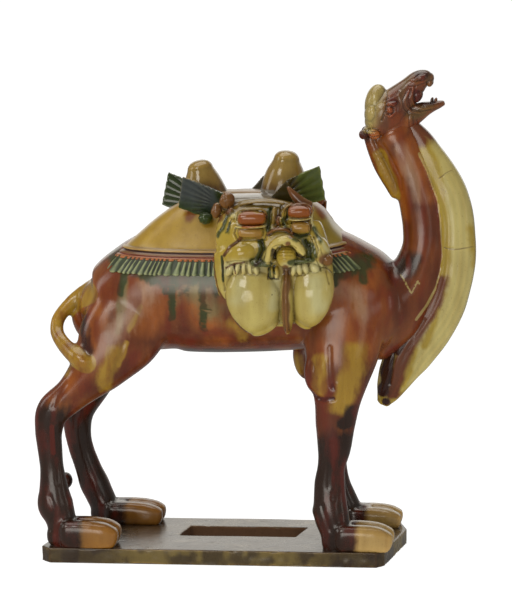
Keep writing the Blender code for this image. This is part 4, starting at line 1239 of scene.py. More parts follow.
@dataclass
class SaddleCloth:
    """The saddle cloth over the back, its rolled border and its tasselled fringe."""

    rows: tuple[Row, ...] = (
        (0.612, -0.008, 0.056, 0.020, 0.0), (0.608, -0.008, 0.078, 0.030, 0.0007),
        (0.597, -0.008, 0.102, 0.040, 0.0026), (0.577, -0.010, 0.131, 0.053, 0.0061),
        (0.549, -0.018, 0.159, 0.068, 0.0080), (0.5225, -0.022, 0.186, 0.081, 0.012))
    border: tuple[Row, ...] = (
        (0.0000, 0.0002), (0.0010, 0.0020), (0.0026, 0.0029), (0.0042, 0.0022), (0.0050, 0.0004),
        (0.0062, -0.0002), (0.0085, 0.0012), (0.0112, 0.0014), (0.0122, 0.0002),
        (0.0132, 0.0018), (0.0146, 0.0021), (0.0156, 0.0006), (0.0170, 0.0000))
    fringe_top: Row = (0.5085, -0.022, 0.2020, 0.0905)
    fringe_foot: Row = (0.4830, -0.018, 0.2285, 0.0995)
    end_lift: float = 0.012
    rear_lift: float = 0.25
    square: float = 3.3
    tassels: int = 108

    def ring(self, angles: np.ndarray, row: Row, out: np.ndarray | float = 0.0,
             drop: np.ndarray | float = 0.0) -> np.ndarray:
        """Give one ring of the cloth.

        Args:
            angles: The angles of its points.
            row: Its height, centre, half length, half width and lift at the ends.
            out: How far it stands out besides.
            drop: How far it hangs lower besides.

        Returns:
            The points of the ring.
        """
        z, centre, half_length, half_width, lift = row
        c, s = boxy_ring(angles, self.square)
        height = z - drop + lift * np.abs(c) ** 3 * np.where(c < 0, self.rear_lift, 1.0)
        wide = half_width * (1 + 0.05 * np.maximum(c, 0) ** 2)
        return np.stack((centre + (half_length + out) * c, (wide + out) * s,
                         height * np.ones_like(c)), -1)

    def build(self) -> tuple[bpy.types.Object, bpy.types.Object]:
        """Model the cloth and its fringe.

        Returns:
            The cloth and the fringe.
        """
        angles = even_angles(720, 0.18, 0.085, self.square)
        smooth = blend_rows(self.rows, 9)
        rings = [self.ring(angles, tuple(row)) for row in smooth[:-1]]
        fine = blend_rows(self.border, 4)
        last = self.rows[-1]
        for down, out in fine:
            grow = down / 0.012
            rings.append(self.ring(angles, (last[0] - down, last[1], last[2] + 0.0125 * grow,
                                            last[3] + 0.0075 * grow, last[4]), out))
        inward = (0.500, -0.022, 0.184, 0.074, self.end_lift)
        rings.append(self.ring(angles, inward))
        clay = Clay()
        clay.rings(np.array(rings))
        cloth = clay.item("saddle_cloth")
        points = read(cloth)
        sag = 0.0011 * mottle(points, 0.05, 81) * smoothstep(0.60, 0.58, points[:, 2])
        press(cloth, (), sag * smoothstep(0.522, 0.532, points[:, 2]))
        return cloth, self.fringe()

    def fringe(self) -> bpy.types.Object:
        """Model the row of tassels: a knob, a stem that widens, and a rounded end.

        Returns:
            The fringe with fields for its stems and its knobs.
        """
        columns = self.tassels * 12
        angles = even_angles(columns, 0.21, 0.096, self.square)
        turn = np.arange(columns) / columns
        sway = 0.35 * np.sin(turn * 61) + 0.25 * np.sin(turn * 137 + 1) + 0.2 * np.sin(turn * 29)
        phase = (turn * self.tassels + sway) * 2 * math.pi
        crest = 0.5 + 0.5 * np.cos(phase)
        grow = 0.5 + 0.5 * np.sin(np.floor(phase / (2 * math.pi) + 0.5) * 2.4)
        rings, stems, knobs = [], [], []
        steps = 46
        for step in range(steps):
            t = step / (steps - 1)
            row = [a + (b - a) * t for a, b in zip(self.fringe_top, self.fringe_foot)]
            knob = np.sqrt(max(0.0, math.sin(min(t / 0.17, 1.0) * math.pi))) * crest ** 0.9
            power = 2.0 - 1.4 * smoothstep(0.2, 0.95, np.array(t))
            stem = crest ** power * smoothstep(0.12, 0.24, np.array(t))
            round_off = float(np.sqrt(np.clip(1 - ((t - 0.90) / 0.10) ** 2, 0, 1))) if t > 0.9 else 1
            out = 0.0024 * knob + (0.0010 + 0.0016 * t) * stem * round_off - 0.0012 * (1 - crest) * (
                1 - round_off)
            drop = (0.0016 * crest + 0.0012 * grow) * max(0.0, (t - 0.5) / 0.5)
            rings.append(self.ring(angles, (*row, self.end_lift), out, drop))
            stems.append(stem * (1.0 if t > 0.2 else 0.0))
            knobs.append(knob)
        for z, length, width in ((0.4810, 0.222, 0.093), (0.4825, 0.213, 0.084),
                                 (0.4950, 0.198, 0.074)):
            rings.append(self.ring(angles, (z, -0.019, length, width, self.end_lift)))
            stems.append(np.zeros(columns))
            knobs.append(np.zeros(columns))
        clay = Clay()
        clay.rings(np.array(rings))
        piece = clay.item("cloth_fringe")
        for name, rows in (("stem", stems), ("knob", knobs)):
            put_field(piece, name, np.concatenate((np.array(rows).ravel(), (0.0, 0.0))))
        return piece

    def dress(self, cloth: bpy.types.Object, fringe: bpy.types.Object,
              tools: GlazeTools) -> None:
        """Lay the glazes on the cloth and the fringe, with painted sheen on the cloth's front corner.

        Args:
            cloth: The cloth.
            fringe: The fringe.
            tools: The shared node groups.
        """
        points = read(cloth)
        x, _, z = points.T
        put_field(cloth, "pool", hollows(cloth, 1))
        c = np.clip(np.abs((x + 0.022) / 0.190), 0, 1)
        lift = self.end_lift * np.where(x < -0.022, self.rear_lift, 1.0)
        height = z - lift * c ** 3 * np.clip((0.612 - z) / 0.08, 0, 1)
        put_field(cloth, "brown_top", np.clip((z - 0.592) / 0.02 + 0.3 * mottle(points, 0.02, 82),
                                              -1, 1))
        drips = (Stroke(((-0.096, 0.590), (-0.095, 0.572)), 0.009),
                 Stroke(((-0.070, 0.585), (-0.068, 0.575)), 0.010, 0.8),
                 Stroke(((0.118, 0.600), (0.126, 0.578)), 0.010))
        paint(cloth, "brown", drips, 83)
        # Painted sheen: the olive stroke greys the cloth's front corner for the glare there.
        paint(cloth, "olive", (Stroke(((0.135, 0.565), (0.155, 0.545)), 0.030, 0.7),), 84)
        edge = self.rows[-1][0]
        for name, down, half in (("cream_rim", 0.0025, 0.0032), ("plum_line", 0.0061, 0.0017),
                                 ("peach_band", 0.0096, 0.0026), ("wine_line", 0.0122, 0.0010),
                                 ("orange_line", 0.0142, 0.0016)):
            put_field(cloth, name, np.clip(1 - np.abs(height - edge + down) / half, -1, 1))
        put_field(cloth, "below", np.clip((edge - 0.0165 - height) / 0.002, -1, 1))
        finish = SancaiFinish("mustard_glaze", MUSTARD, (
            GlazeLayer("brown_top", glaze_rgb(124, 86, 30), 0.8, 0.6, 0.5, 0.8),
            # the painted sheen on the cloth's front corner
            GlazeLayer("olive", glaze_rgb(138, 122, 50), 0.8, 0.4, 0.4, 0.8),
            GlazeLayer("brown", glaze_rgb(116, 58, 22), 0.5, 0.6, 0.9, 0.9),
            GlazeLayer("cream_rim", glaze_rgb(148, 119, 62), 0.3, 0.5, 0.1, 0.9),
            GlazeLayer("peach_band", glaze_rgb(106, 67, 38), 0.3, 0.6, 0.2, 0.9),
            GlazeLayer("plum_line", glaze_rgb(64, 28, 24), 0.3, 0.4, 0.1),
            GlazeLayer("wine_line", glaze_rgb(112, 40, 34), 0.3, 0.4, 0.1),
            GlazeLayer("orange_line", glaze_rgb(132, 70, 38), 0.3, 0.4, 0.1, 0.9),
            GlazeLayer("below", glaze_rgb(100, 46, 22), 0.3, 0.3, 0.1)),
            pooling=0.35, streaks=0.34, relief=0.2, roughness=0.3, coat_roughness=0.28)
        cloth.data.materials.append(finish.material(tools))
        points = read(fringe)
        put_field(fringe, "pool", hollows(fringe, 0))
        stem = np.zeros(len(points))
        knob = np.zeros(len(points))
        fringe.data.attributes["stem"].data.foreach_get("value", stem)
        fringe.data.attributes["knob"].data.foreach_get("value", knob)
        shade = (mottle(points, 0.03, 85) * 0.45 + mottle(points, 0.007, 86) * 0.45
                 - 0.95 * smoothstep(0.10, 0.15, points[:, 0]))
        put_field(fringe, "pale_stem", np.clip(stem * 2.0 - 1.0 + shade, -1, 1))
        put_field(fringe, "brown_knob", np.clip(knob * 2.4 - 0.7 + 0.6 * shade, -1, 1))
        put_field(fringe, "wash", np.clip(mottle(points, 0.045, 86) * 1.1 + 0.1, -1, 1))
        finish = SancaiFinish("green_glaze", glaze_rgb(36, 50, 24), (
            GlazeLayer("wash", glaze_rgb(58, 68, 32), 0.7, 0.6, 0.3, 0.7),
            GlazeLayer("pale_stem", glaze_rgb(122, 132, 96), 0.8, 1.2, 0.5, 0.85),
            GlazeLayer("brown_knob", glaze_rgb(142, 80, 34), 0.4, 0.5, 0.1, 0.85)),
            pooling=0.8, streaks=0.35, roughness=0.5, coat_roughness=0.42)
        fringe.data.materials.append(finish.material(tools))


@dataclass
class Saddle:
    """The two humps, the seat between them and the two flared pack boards."""

    rear_hump: tuple[Row, ...] = (
        (-0.070, 0.0, 0.585, 0.040, 0.040), (-0.076, 0.0, 0.610, 0.0350, 0.036),
        (-0.081, 0.0, 0.632, 0.0290, 0.031), (-0.084, 0.0, 0.648, 0.0215, 0.024))
    front_hump: tuple[Row, ...] = (
        (0.053, 0.0, 0.590, 0.042, 0.040), (0.056, 0.0, 0.620, 0.0370, 0.038),
        (0.059, 0.0, 0.645, 0.0310, 0.033), (0.061, 0.0, 0.664, 0.0215, 0.024))
    seat: tuple[Row, ...] = ((-0.040, 0.0, 0.595, 0.014, 0.074), (0.005, 0.0, 0.597, 0.014, 0.080),
                             (0.050, 0.0, 0.595, 0.014, 0.074))
    outline: Path = ((-0.104, 0.643), (-0.039, 0.614), (-0.015, 0.601), (0.035, 0.601),
                     (0.070, 0.638), (0.123, 0.662), (0.131, 0.604), (0.099, 0.596),
                     (0.030, 0.586), (-0.030, 0.584), (-0.060, 0.580), (-0.081, 0.576),
                     (-0.114, 0.590))
    board_y: float = 0.051
    board_foot_z: float = 0.590
    lean: float = 0.32
    thickness: float = 0.0085
    far_board: Row = (0.94, -0.050, -0.007)
    foot_lump: Row = (-0.067, 0.066, 0.573)
    foot_radii: Row = (0.012, 0.011, 0.0105)

    def build(self) -> tuple[bpy.types.Object, bpy.types.Object]:
        """Model the humps with the seat, and the boards.

        Returns:
            The humps and the boards.
        """
        clay = Clay()
        clay.sweep(self.rear_hump)
        clay.sweep(self.front_hump)
        clay.sweep(self.seat, square=3.4)
        humps = clay.fuse("humps_and_seat", 0.0016, 5)
        points = read(humps)
        press(humps, (), 0.0004 * mottle(points, 0.02, 91) + 0.0001 * mottle(points, 0.006, 92))
        thin(humps, 38000)
        clay = Clay()
        for side in (-1, 1):
            scale, shift, rise = self.far_board if side > 0 else (1.0, 0.0, 0.0)
            corners = np.array(self.outline)
            faces = []
            for depth in (-self.thickness / 2, self.thickness / 2):
                out = self.board_y + (corners[:, 1] - self.board_foot_z) * self.lean + depth
                faces.append(np.stack((corners[:, 0] * scale + shift, side * out,
                                       corners[:, 1] + rise), -1))
            clay.rings(np.array(faces))
            x, y, z = self.foot_lump
            clay.lump(Lump((x * scale + shift, side * y, z), self.foot_radii))
        boards = clay.fuse("pack_boards", 0.0011, 2)
        self.carve_boards(boards)
        thin(boards, 46000)
        return humps, boards

    def carve_boards(self, boards: bpy.types.Object) -> None:
        """Press the fanned ribs into the flared ends."""
        points = read(boards)
        far = points[:, 1] > 0
        x = np.where(far, (points[:, 0] - self.far_board[1]) / self.far_board[0], points[:, 0])
        z = np.where(far, points[:, 2] - self.far_board[2], points[:, 2])
        front = np.arctan2(z - 0.600, x - 0.052)
        rear = np.arctan2(z - 0.588, -0.030 - x)
        ribs = (np.cos(front * 30) * smoothstep(0.070, 0.080, x)
                + 0.7 * np.cos(rear * 44) * smoothstep(-0.055, -0.068, x))
        lump = smoothstep(0.020, 0.010, np.hypot(x + 0.060, z - 0.580))
        rough = 0.0008 * mottle(points, 0.006, 95) * lump
        press(boards, (Groove(((0.070, 0.632), (0.080, 0.615), (0.078, 0.600)), 0.0025, -0.0012),),
              0.0006 * ribs * (1 - lump) + rough + 0.0003 * mottle(points, 0.012, 94))

    def dress(self, humps: bpy.types.Object, boards: bpy.types.Object,
              tools: GlazeTools) -> None:
        """Lay the glazes on the humps, the seat and the boards, with painted reflections on the seat and
        on the near board's rear end.

        Args:
            humps: The humps and the seat.
            boards: The boards.
            tools: The shared node groups.
        """
        points = read(humps)
        x, y, z = points.T
        put_field(humps, "pool", hollows(humps))
        # Painted reflection: the flat top of the seat is painted grey for the glare on its glossy glaze.
        put_field(humps, "seat", np.clip(np.minimum((0.6165 - z) / 0.004,
                                                    (0.040 - np.abs(x - 0.006)) / 0.012), -1, 1))
        put_field(humps, "base", np.clip((0.625 - z) / 0.012 + 0.3 * mottle(points, 0.012, 96),
                                         -1, 1))
        paint(humps, "crown", (Stroke(((-0.090, 0.660), (-0.084, 0.640)), 0.016, 0.8),
                               Stroke(((0.061, 0.676), (0.056, 0.650)), 0.018, 0.8)), 97)
        finish = SancaiFinish("tan_glaze", glaze_rgb(134, 106, 46), (
            GlazeLayer("crown", glaze_rgb(146, 122, 62), 0.7, 0.6, 0.4, 0.8),
            GlazeLayer("base", glaze_rgb(92, 64, 30), 0.6, 0.5, 0.6, 0.8),
            # the seat's painted reflection, a warm grey
            GlazeLayer("seat", glaze_rgb(127, 119, 106), 0.4, 0.4, 0.1)),
            streaks=0.3, roughness=0.16)
        humps.data.materials.append(finish.material(tools))
        points = read(boards)
        normals = read(boards, "normal")
        x, y, z = points.T
        put_field(boards, "pool", hollows(boards, 1))
        face = np.abs(normals[:, 1])
        upper = (z - 0.596 - (x + 0.085) * -0.25) / 0.016
        # Painted reflection: the rear end of the near board is greyed for the glare on it; the far board
        # keeps its green.
        put_field(boards, "near_board_sheen", np.clip(np.minimum(np.minimum((-0.052 - x) / 0.012, upper),
                                                      (0.0 - y) / 0.01), -1, 1))
        put_field(boards, "edge", np.clip(np.minimum((0.55 - face) / 0.15,
                                                     np.minimum((-0.080 - x) / 0.01,
                                                                -y / 0.01)), -1, 1))
        tip = np.maximum((z - 0.640) / 0.02, (x - 0.082) / 0.012)
        put_field(boards, "tip", np.clip(tip + 0.4 * mottle(points, 0.010, 98), -1, 1))
        put_field(boards, "brown_end", np.clip(np.minimum((x + 0.02) / 0.01, (0.086 - x) / 0.008),
                                               -1, 1))
        finish = SancaiFinish("board_green_glaze", glaze_rgb(40, 54, 20), (
            GlazeLayer("tip", glaze_rgb(78, 88, 40), 0.6, 0.8, 0.3, 0.8),
            # the near board's painted reflection
            GlazeLayer("near_board_sheen", BOARD_SHEEN_GREY, 0.9, 1.6, 0.6, 0.9),
            GlazeLayer("brown_end", glaze_rgb(64, 44, 20), 0.9, 1.2, 0.2, 0.6),
            GlazeLayer("edge", glaze_rgb(140, 120, 66), 0.4, 0.5, 0.1, 0.9)),
            pooling=0.9, streaks=0.25)
        boards.data.materials.append(finish.material(tools))


@dataclass
class MaskBag:
    """A saddle bag moulded as a monster mask, on one flank."""

    side: int
    drop: float
    body: tuple[Row, ...] = (
        (0.040, 0.078, 0.590, 0.058, 0.022), (0.039, 0.086, 0.576, 0.075, 0.031),
        (0.038, 0.092, 0.556, 0.085, 0.037), (0.043, 0.097, 0.534, 0.094, 0.040),
        (0.049, 0.097, 0.487, 0.098, 0.036), (0.052, 0.096, 0.449, 0.091, 0.034),
        (0.050, 0.093, 0.423, 0.066, 0.026), (0.048, 0.089, 0.409, 0.028, 0.014))
    lumps: tuple[Lump, ...] = (
        Lump((0.0735, 0.122, 0.4450), (0.0120, 0.0250, 0.0560)),
        Lump((0.002, 0.116, 0.523), (0.034, 0.027, 0.023), -14),
        Lump((0.122, 0.115, 0.524), (0.022, 0.024, 0.027)),
        Lump((0.0745, 0.140, 0.519), (0.0170, 0.0165, 0.0180)),
        Lump((0.0770, 0.1565, 0.5440), (0.0070, 0.0040, 0.0042)),
        Lump((0.026, 0.1425, 0.509), (0.0110, 0.0060, 0.0070), 10),
        Lump((0.042, 0.1455, 0.507), (0.0085, 0.0055, 0.0042), -6),
        Lump((0.101, 0.1445, 0.5135), (0.0160, 0.0055, 0.0040), -4),
        Lump((0.0495, 0.1362, 0.4930), (0.0045, 0.0090, 0.0100)),
        Lump((0.0580, 0.1372, 0.4930), (0.0045, 0.0090, 0.0105)),
        Lump((0.0860, 0.1352, 0.4985), (0.0050, 0.0090, 0.0120), 12),
        Lump((0.0950, 0.1347, 0.4995), (0.0055, 0.0090, 0.0110), -8),
        Lump((0.1045, 0.1332, 0.5005), (0.0055, 0.0090, 0.0100), -16),
        Lump((-0.0190, 0.1272, 0.4965), (0.0060, 0.0090, 0.0120), 34),
        Lump((-0.0070, 0.1312, 0.4985), (0.0055, 0.0090, 0.0125), 22),
        Lump((0.0045, 0.1340, 0.4990), (0.0058, 0.0090, 0.0125), 10),
        Lump((0.0150, 0.1350, 0.5000), (0.0060, 0.0090, 0.0110), -6),
        Lump((0.0245, 0.1350, 0.4975), (0.0050, 0.0090, 0.0090), -12),
        Lump((0.1190, 0.1292, 0.5000), (0.0070, 0.0090, 0.0110), -30),
        Lump((0.1395, 0.1250, 0.5130), (0.0092, 0.0095, 0.0092)),
        Lump((-0.0270, 0.093, 0.6060), (0.0130, 0.0110, 0.0140), 20),
        Lump((-0.0455, 0.089, 0.5890), (0.0085, 0.0090, 0.0130), 10),
        Lump((0.0530, 0.122, 0.5840), (0.0050, 0.0080, 0.0150), 6),
        Lump((0.0620, 0.125, 0.5760), (0.0060, 0.0080, 0.0080), -6),
        Lump((-0.0130, 0.113, 0.5830), (0.0075, 0.0070, 0.0045), -20),
        Lump((-0.0205, 0.107, 0.5880), (0.0055, 0.0060, 0.0090), 20),
        Lump((-0.0290, 0.105, 0.5690), (0.0080, 0.0075, 0.0120), 25),
        Lump((-0.0175, 0.114, 0.5650), (0.0050, 0.0065, 0.0105), 15))
    lobes: tuple[tuple[Row, ...], ...] = (
        ((0.0180, 0.117, 0.480, 0.0400, 0.026), (0.0175, 0.118, 0.462, 0.0465, 0.031),
         (0.0195, 0.118, 0.440, 0.0450, 0.032), (0.0260, 0.116, 0.418, 0.0380, 0.029),
         (0.0335, 0.112, 0.402, 0.0265, 0.018)),
        ((0.1150, 0.114, 0.482, 0.0330, 0.026), (0.1160, 0.116, 0.463, 0.0340, 0.031),
         (0.1130, 0.116, 0.442, 0.0315, 0.031), (0.1070, 0.114, 0.424, 0.0255, 0.028),
         (0.0990, 0.110, 0.411, 0.0180, 0.016)))
    pads: tuple[Row, ...] = (
        (0.0170, 0.1235, 0.5810, 0.0225, 0.0122, 0.0150),
        (0.0160, 0.1270, 0.5575, 0.0210, 0.0092, 0.0125),
        (0.0950, 0.1240, 0.5915, 0.0160, 0.0108, 0.0150),
        (0.0970, 0.1265, 0.5660, 0.0120, 0.0105, 0.0130))
    rims: tuple[tuple[Row, ...], ...] = (
        ((-0.010, 0.116, 0.577, 0.0018, 0.004), (-0.007, 0.121, 0.589, 0.0018, 0.004),
         (0.004, 0.125, 0.5950, 0.0018, 0.004), (0.020, 0.126, 0.5965, 0.0018, 0.004),
         (0.034, 0.125, 0.5955, 0.0018, 0.004), (0.042, 0.121, 0.588, 0.0018, 0.004)),
        ((-0.009, 0.124, 0.5668, 0.0018, 0.004), (0.004, 0.1345, 0.5672, 0.0018, 0.004),
         (0.018, 0.1380, 0.5678, 0.0018, 0.004), (0.032, 0.1355, 0.5682, 0.0018, 0.004),
         (0.041, 0.126, 0.5685, 0.0018, 0.004)),
        ((0.0765, 0.118, 0.585, 0.0018, 0.004), (0.0795, 0.122, 0.598, 0.0018, 0.004),
         (0.088, 0.1245, 0.6035, 0.0018, 0.004), (0.101, 0.1245, 0.6045, 0.0018, 0.004),
         (0.1105, 0.122, 0.601, 0.0018, 0.004), (0.1140, 0.118, 0.592, 0.0018, 0.004)),
        ((0.079, 0.126, 0.5785, 0.0016, 0.004), (0.090, 0.1345, 0.5790, 0.0016, 0.004),
         (0.103, 0.1335, 0.5795, 0.0016, 0.004), (0.112, 0.123, 0.581, 0.0016, 0.004)),
        ((0.083, 0.1225, 0.605, 0.0018, 0.005), (0.0735, 0.1230, 0.599, 0.0018, 0.005),
         (0.0685, 0.1225, 0.588, 0.0018, 0.005), (0.0690, 0.1225, 0.577, 0.0018, 0.005),
         (0.0755, 0.1240, 0.568, 0.0018, 0.005)),
        ((0.045, 0.134, 0.5570, 0.0026, 0.006), (0.058, 0.137, 0.5640, 0.0026, 0.006),
         (0.072, 0.137, 0.5640, 0.0026, 0.006), (0.083, 0.134, 0.5570, 0.0026, 0.006)),
        ((-0.004, 0.100, 0.600, 0.0020, 0.004), (0.022, 0.104, 0.605, 0.0020, 0.004),
         (0.051, 0.104, 0.6045, 0.0020, 0.004), (0.067, 0.103, 0.602, 0.0020, 0.004)),
        ((0.1150, 0.108, 0.597, 0.0022, 0.005), (0.1140, 0.114, 0.574, 0.0022, 0.005),
         (0.1240, 0.117, 0.554, 0.0022, 0.005), (0.1360, 0.115, 0.537, 0.0022, 0.005),
         (0.1450, 0.112, 0.522, 0.0022, 0.005)))
    eyes: tuple[Row, ...] = ((0.017, 0.581, 0.0225, 0.0122), (0.095, 0.5915, 0.0160, 0.0108))
    lids: tuple[Row, ...] = ((0.016, 0.5575, 0.0210, 0.0092), (0.097, 0.566, 0.0120, 0.0105))
    snout: tuple[Row, ...] = (
        (0.0420, 0.141, 0.5110, 0.0062, 0.0070), (0.0475, 0.147, 0.5250, 0.0068, 0.0085),
        (0.0530, 0.150, 0.5370, 0.0072, 0.0095), (0.0630, 0.152, 0.5465, 0.0075, 0.0100),
        (0.0770, 0.1525, 0.5500, 0.0075, 0.0100), (0.0890, 0.151, 0.5455, 0.0072, 0.0095),
        (0.0970, 0.148, 0.5360, 0.0068, 0.0085), (0.1000, 0.144, 0.5270, 0.0062, 0.0075))
    horn: tuple[Row, ...] = (
        (0.1060, 0.101, 0.597, 0.0110, 0.0085), (0.0940, 0.102, 0.606, 0.0090, 0.0072),
        (0.0825, 0.102, 0.618, 0.0060, 0.0055), (0.0745, 0.1015, 0.628, 0.0028, 0.0030))

    def at(self, x: float, out: float, z: float, *sizes: float) -> Row:
        """Place a station at its distance out from the middle plane."""
        return x, self.side * out, z - self.drop, *sizes

    def build(self) -> bpy.types.Object:
        """Model the mask and press in its features.

        Returns:
            The bag.
        """
        clay = Clay()
        clay.sweep(tuple(self.at(*row) for row in self.body), square=2.4, sides=56)
        for lump in self.lumps:
            clay.lump(Lump(self.at(*lump.centre), lump.radii, lump.tilt))
        clay.sweep(tuple(self.at(*row) for row in self.snout))
        clay.sweep(tuple(self.at(*row) for row in self.horn))
        for lobe in self.lobes:
            clay.sweep(tuple(self.at(*row) for row in lobe), square=2.2, sides=64)
        for x, out, z, half, high, deep in self.pads:
            clay.sweep(tuple(self.at(x + half * along, out - deep * (1 - share) * 0.4, z,
                                     high * share, deep)
                             for along, share in ((-0.72, 0.86), (-0.3, 1.0), (0.3, 1.0),
                                                  (0.72, 0.86))), square=2.15)
        for rim in self.rims:
            clay.sweep(tuple(self.at(*row) for row in rim), sides=20)
        name = "mask_bag_near" if self.side < 0 else "mask_bag_far"
        bag = clay.fuse(name, 0.00105, 2)
        self.carve(bag)
        thin(bag, 96000)
        return bag

    def carve(self, bag: bpy.types.Object) -> None:
        """Press in the nostrils, lips, seams, strap and wrinkles."""
        points = read(bag)
        points[:, 2] += self.drop
        write(bag, points)
        side = Side.NEAR if self.side < 0 else Side.FAR
        lines = (
            (((0.0700, 0.4960), (0.0695, 0.4600), (0.0705, 0.4200), (0.0700, 0.3980)), 0.0012, 0.0010),
            (((0.0775, 0.4960), (0.0775, 0.4600), (0.0770, 0.4200), (0.0775, 0.3980)), 0.0012, 0.0010),
            (((0.0735, 0.4960), (0.0735, 0.3980)), 0.0016, -0.0008),
            (((-0.0510, 0.5510), (-0.0510, 0.5100), (-0.0430, 0.4580), (-0.0170, 0.4150),
              (0.0160, 0.3830)), 0.0013, 0.0020),
            (((-0.0330, 0.5150), (-0.0330, 0.4800), (-0.0300, 0.4600)), 0.0018, 0.0024),
            (((0.0550, 0.5320), (0.0540, 0.5160)), 0.0030, 0.0050),
            (((0.0935, 0.5250), (0.1010, 0.5200)), 0.0028, 0.0050),
            (((0.0530, 0.5360), (0.0600, 0.5400), (0.0690, 0.5410)), 0.0016, 0.0016),
            (((0.0850, 0.5400), (0.0920, 0.5360)), 0.0016, 0.0016),
            (((0.0640, 0.5330), (0.0740, 0.5345), (0.0850, 0.5330)), 0.0009, 0.0007),
            (((0.0630, 0.5285), (0.0740, 0.5300), (0.0860, 0.5285)), 0.0009, 0.0007),
            (((0.0630, 0.5235), (0.0740, 0.5245), (0.0860, 0.5235)), 0.0009, 0.0007),
            (((0.0630, 0.5180), (0.0740, 0.5185), (0.0850, 0.5180)), 0.0009, 0.0007),
            (((-0.0300, 0.5180), (-0.0190, 0.5350), (-0.0010, 0.5470), (0.0240, 0.5480),
              (0.0360, 0.5420)), 0.0022, 0.0024),
            (((0.0340, 0.5450), (0.0370, 0.5310), (0.0300, 0.5150)), 0.0026, 0.0036),
            (((0.1060, 0.5450), (0.1120, 0.5310), (0.1120, 0.5170)), 0.0026, 0.0036),
            (((-0.0250, 0.5080), (-0.0100, 0.5120), (0.0100, 0.5110)), 0.0016, 0.0014),
            (((0.0445, 0.5020), (0.0440, 0.4830), (0.0610, 0.4820)), 0.0010, 0.0018),
            (((0.0540, 0.5000), (0.0537, 0.4870)), 0.0008, 0.0012),
            (((0.0820, 0.4890), (0.0900, 0.4870), (0.1050, 0.4900)), 0.0010, 0.0010),
            (((-0.0110, 0.5060), (-0.0100, 0.4950)), 0.0008, 0.0014),
            (((-0.0010, 0.5060), (0.0000, 0.4920)), 0.0008, 0.0014),
            (((0.0085, 0.5060), (0.0090, 0.4950)), 0.0008, 0.0014),
            (((0.0185, 0.5050), (0.0185, 0.4930)), 0.0008, 0.0012),
            (((0.1180, 0.5500), (0.1270, 0.5320), (0.1230, 0.5140), (0.1300, 0.4960)),
             0.0014, 0.0018),
            (((0.1110, 0.5560), (0.1180, 0.5400), (0.1160, 0.5200)), 0.0010, 0.0012),
            (((0.1300, 0.5330), (0.1330, 0.5240)), 0.0014, 0.0012),
            (((0.1370, 0.4990), (0.1440, 0.4750)), 0.0016, 0.0018),
            (((-0.0090, 0.5670), (-0.0120, 0.5560), (-0.0060, 0.5450), (0.0160, 0.5455),
              (0.0400, 0.5470), (0.0430, 0.5600)), 0.0016, 0.0022),
            (((0.0820, 0.5760), (0.0820, 0.5580), (0.0970, 0.5520), (0.1120, 0.5560),
              (0.1130, 0.5700)), 0.0015, 0.0020),
            (((0.0470, 0.5960), (0.0460, 0.5760), (0.0440, 0.5640)), 0.0018, 0.0026),
            (((0.0575, 0.5930), (0.0580, 0.5780)), 0.0010, 0.0014),
            (((0.0630, 0.5980), (0.0625, 0.5800), (0.0650, 0.5700)), 0.0016, 0.0024),
            (((0.0740, 0.5930), (0.0740, 0.5800)), 0.0018, 0.0024),
            (((0.0450, 0.5530), (0.0580, 0.5600), (0.0740, 0.5600), (0.0840, 0.5530)),
             0.0014, 0.0016),
            (((-0.0240, 0.5960), (-0.0260, 0.5820), (-0.0370, 0.5600)), 0.0010, 0.0014),
            (((-0.0180, 0.5770), (-0.0240, 0.5600)), 0.0010, 0.0014),
            (((-0.0320, 0.6170), (-0.0280, 0.6050), (-0.0270, 0.5950)), 0.0012, 0.0008))
        grooves = tuple(Groove(path, width, depth, side) for path, width, depth in lines)
        x, _, z = read(bag).T
        stitch = smoothstep(0.0030, 0.0012, np.abs(x - 0.0735)) * smoothstep(0.495, 0.49, z)
        stitch *= smoothstep(0.392, 0.400, z) * mottle(points, 0.004, 104) * 0.6
        skin = (0.00035 * mottle(points, 0.012, 101) + 0.0006 * mottle(points, 0.03, 102)
                + 0.0010 * stitch)
        gusset = smoothstep(-0.030, -0.045, x) * smoothstep(0.42, 0.46, z)
        skin += 0.0004 * np.sin(z * 420 + 2 * mottle(points, 0.02, 103)) * gusset
        press(bag, grooves, skin)

    def dress(self, bag: bpy.types.Object, tools: GlazeTools) -> None:
        """Lay the glazes on the mask, with highlights painted on its lobes and its forehead rim.

        Args:
            bag: The bag, with its features at the near bag's height.
            tools: The shared node groups.
        """
        points = read(bag)
        x, y, z = points.T
        out = np.abs(y)
        seed = 110 if self.side < 0 else 130
        pool = hollows(bag, 4)
        put_field(bag, "pool", np.where(pool < 0, pool * 0.3, pool))
        paint(bag, "cream", (Stroke(((0.014, 0.447),), 0.057, 1.0), Stroke(((0.116, 0.455),), 0.048),
                             Stroke(((0.050, 0.480), (0.050, 0.420)), 0.022),
                             Stroke(((-0.024, 0.497), (0.004, 0.501), (0.030, 0.500)), 0.014, 1.4),
                             Stroke(((0.080, 0.500), (0.105, 0.502), (0.124, 0.500)), 0.013, 1.4),
                             Stroke(((0.124, 0.545), (0.133, 0.520)), 0.008, 0.7),
                             Stroke(((0.042, 0.512), (0.048, 0.526), (0.062, 0.545), (0.077, 0.551),
                                     (0.089, 0.545), (0.099, 0.530)), 0.0085, 1.2)), seed)
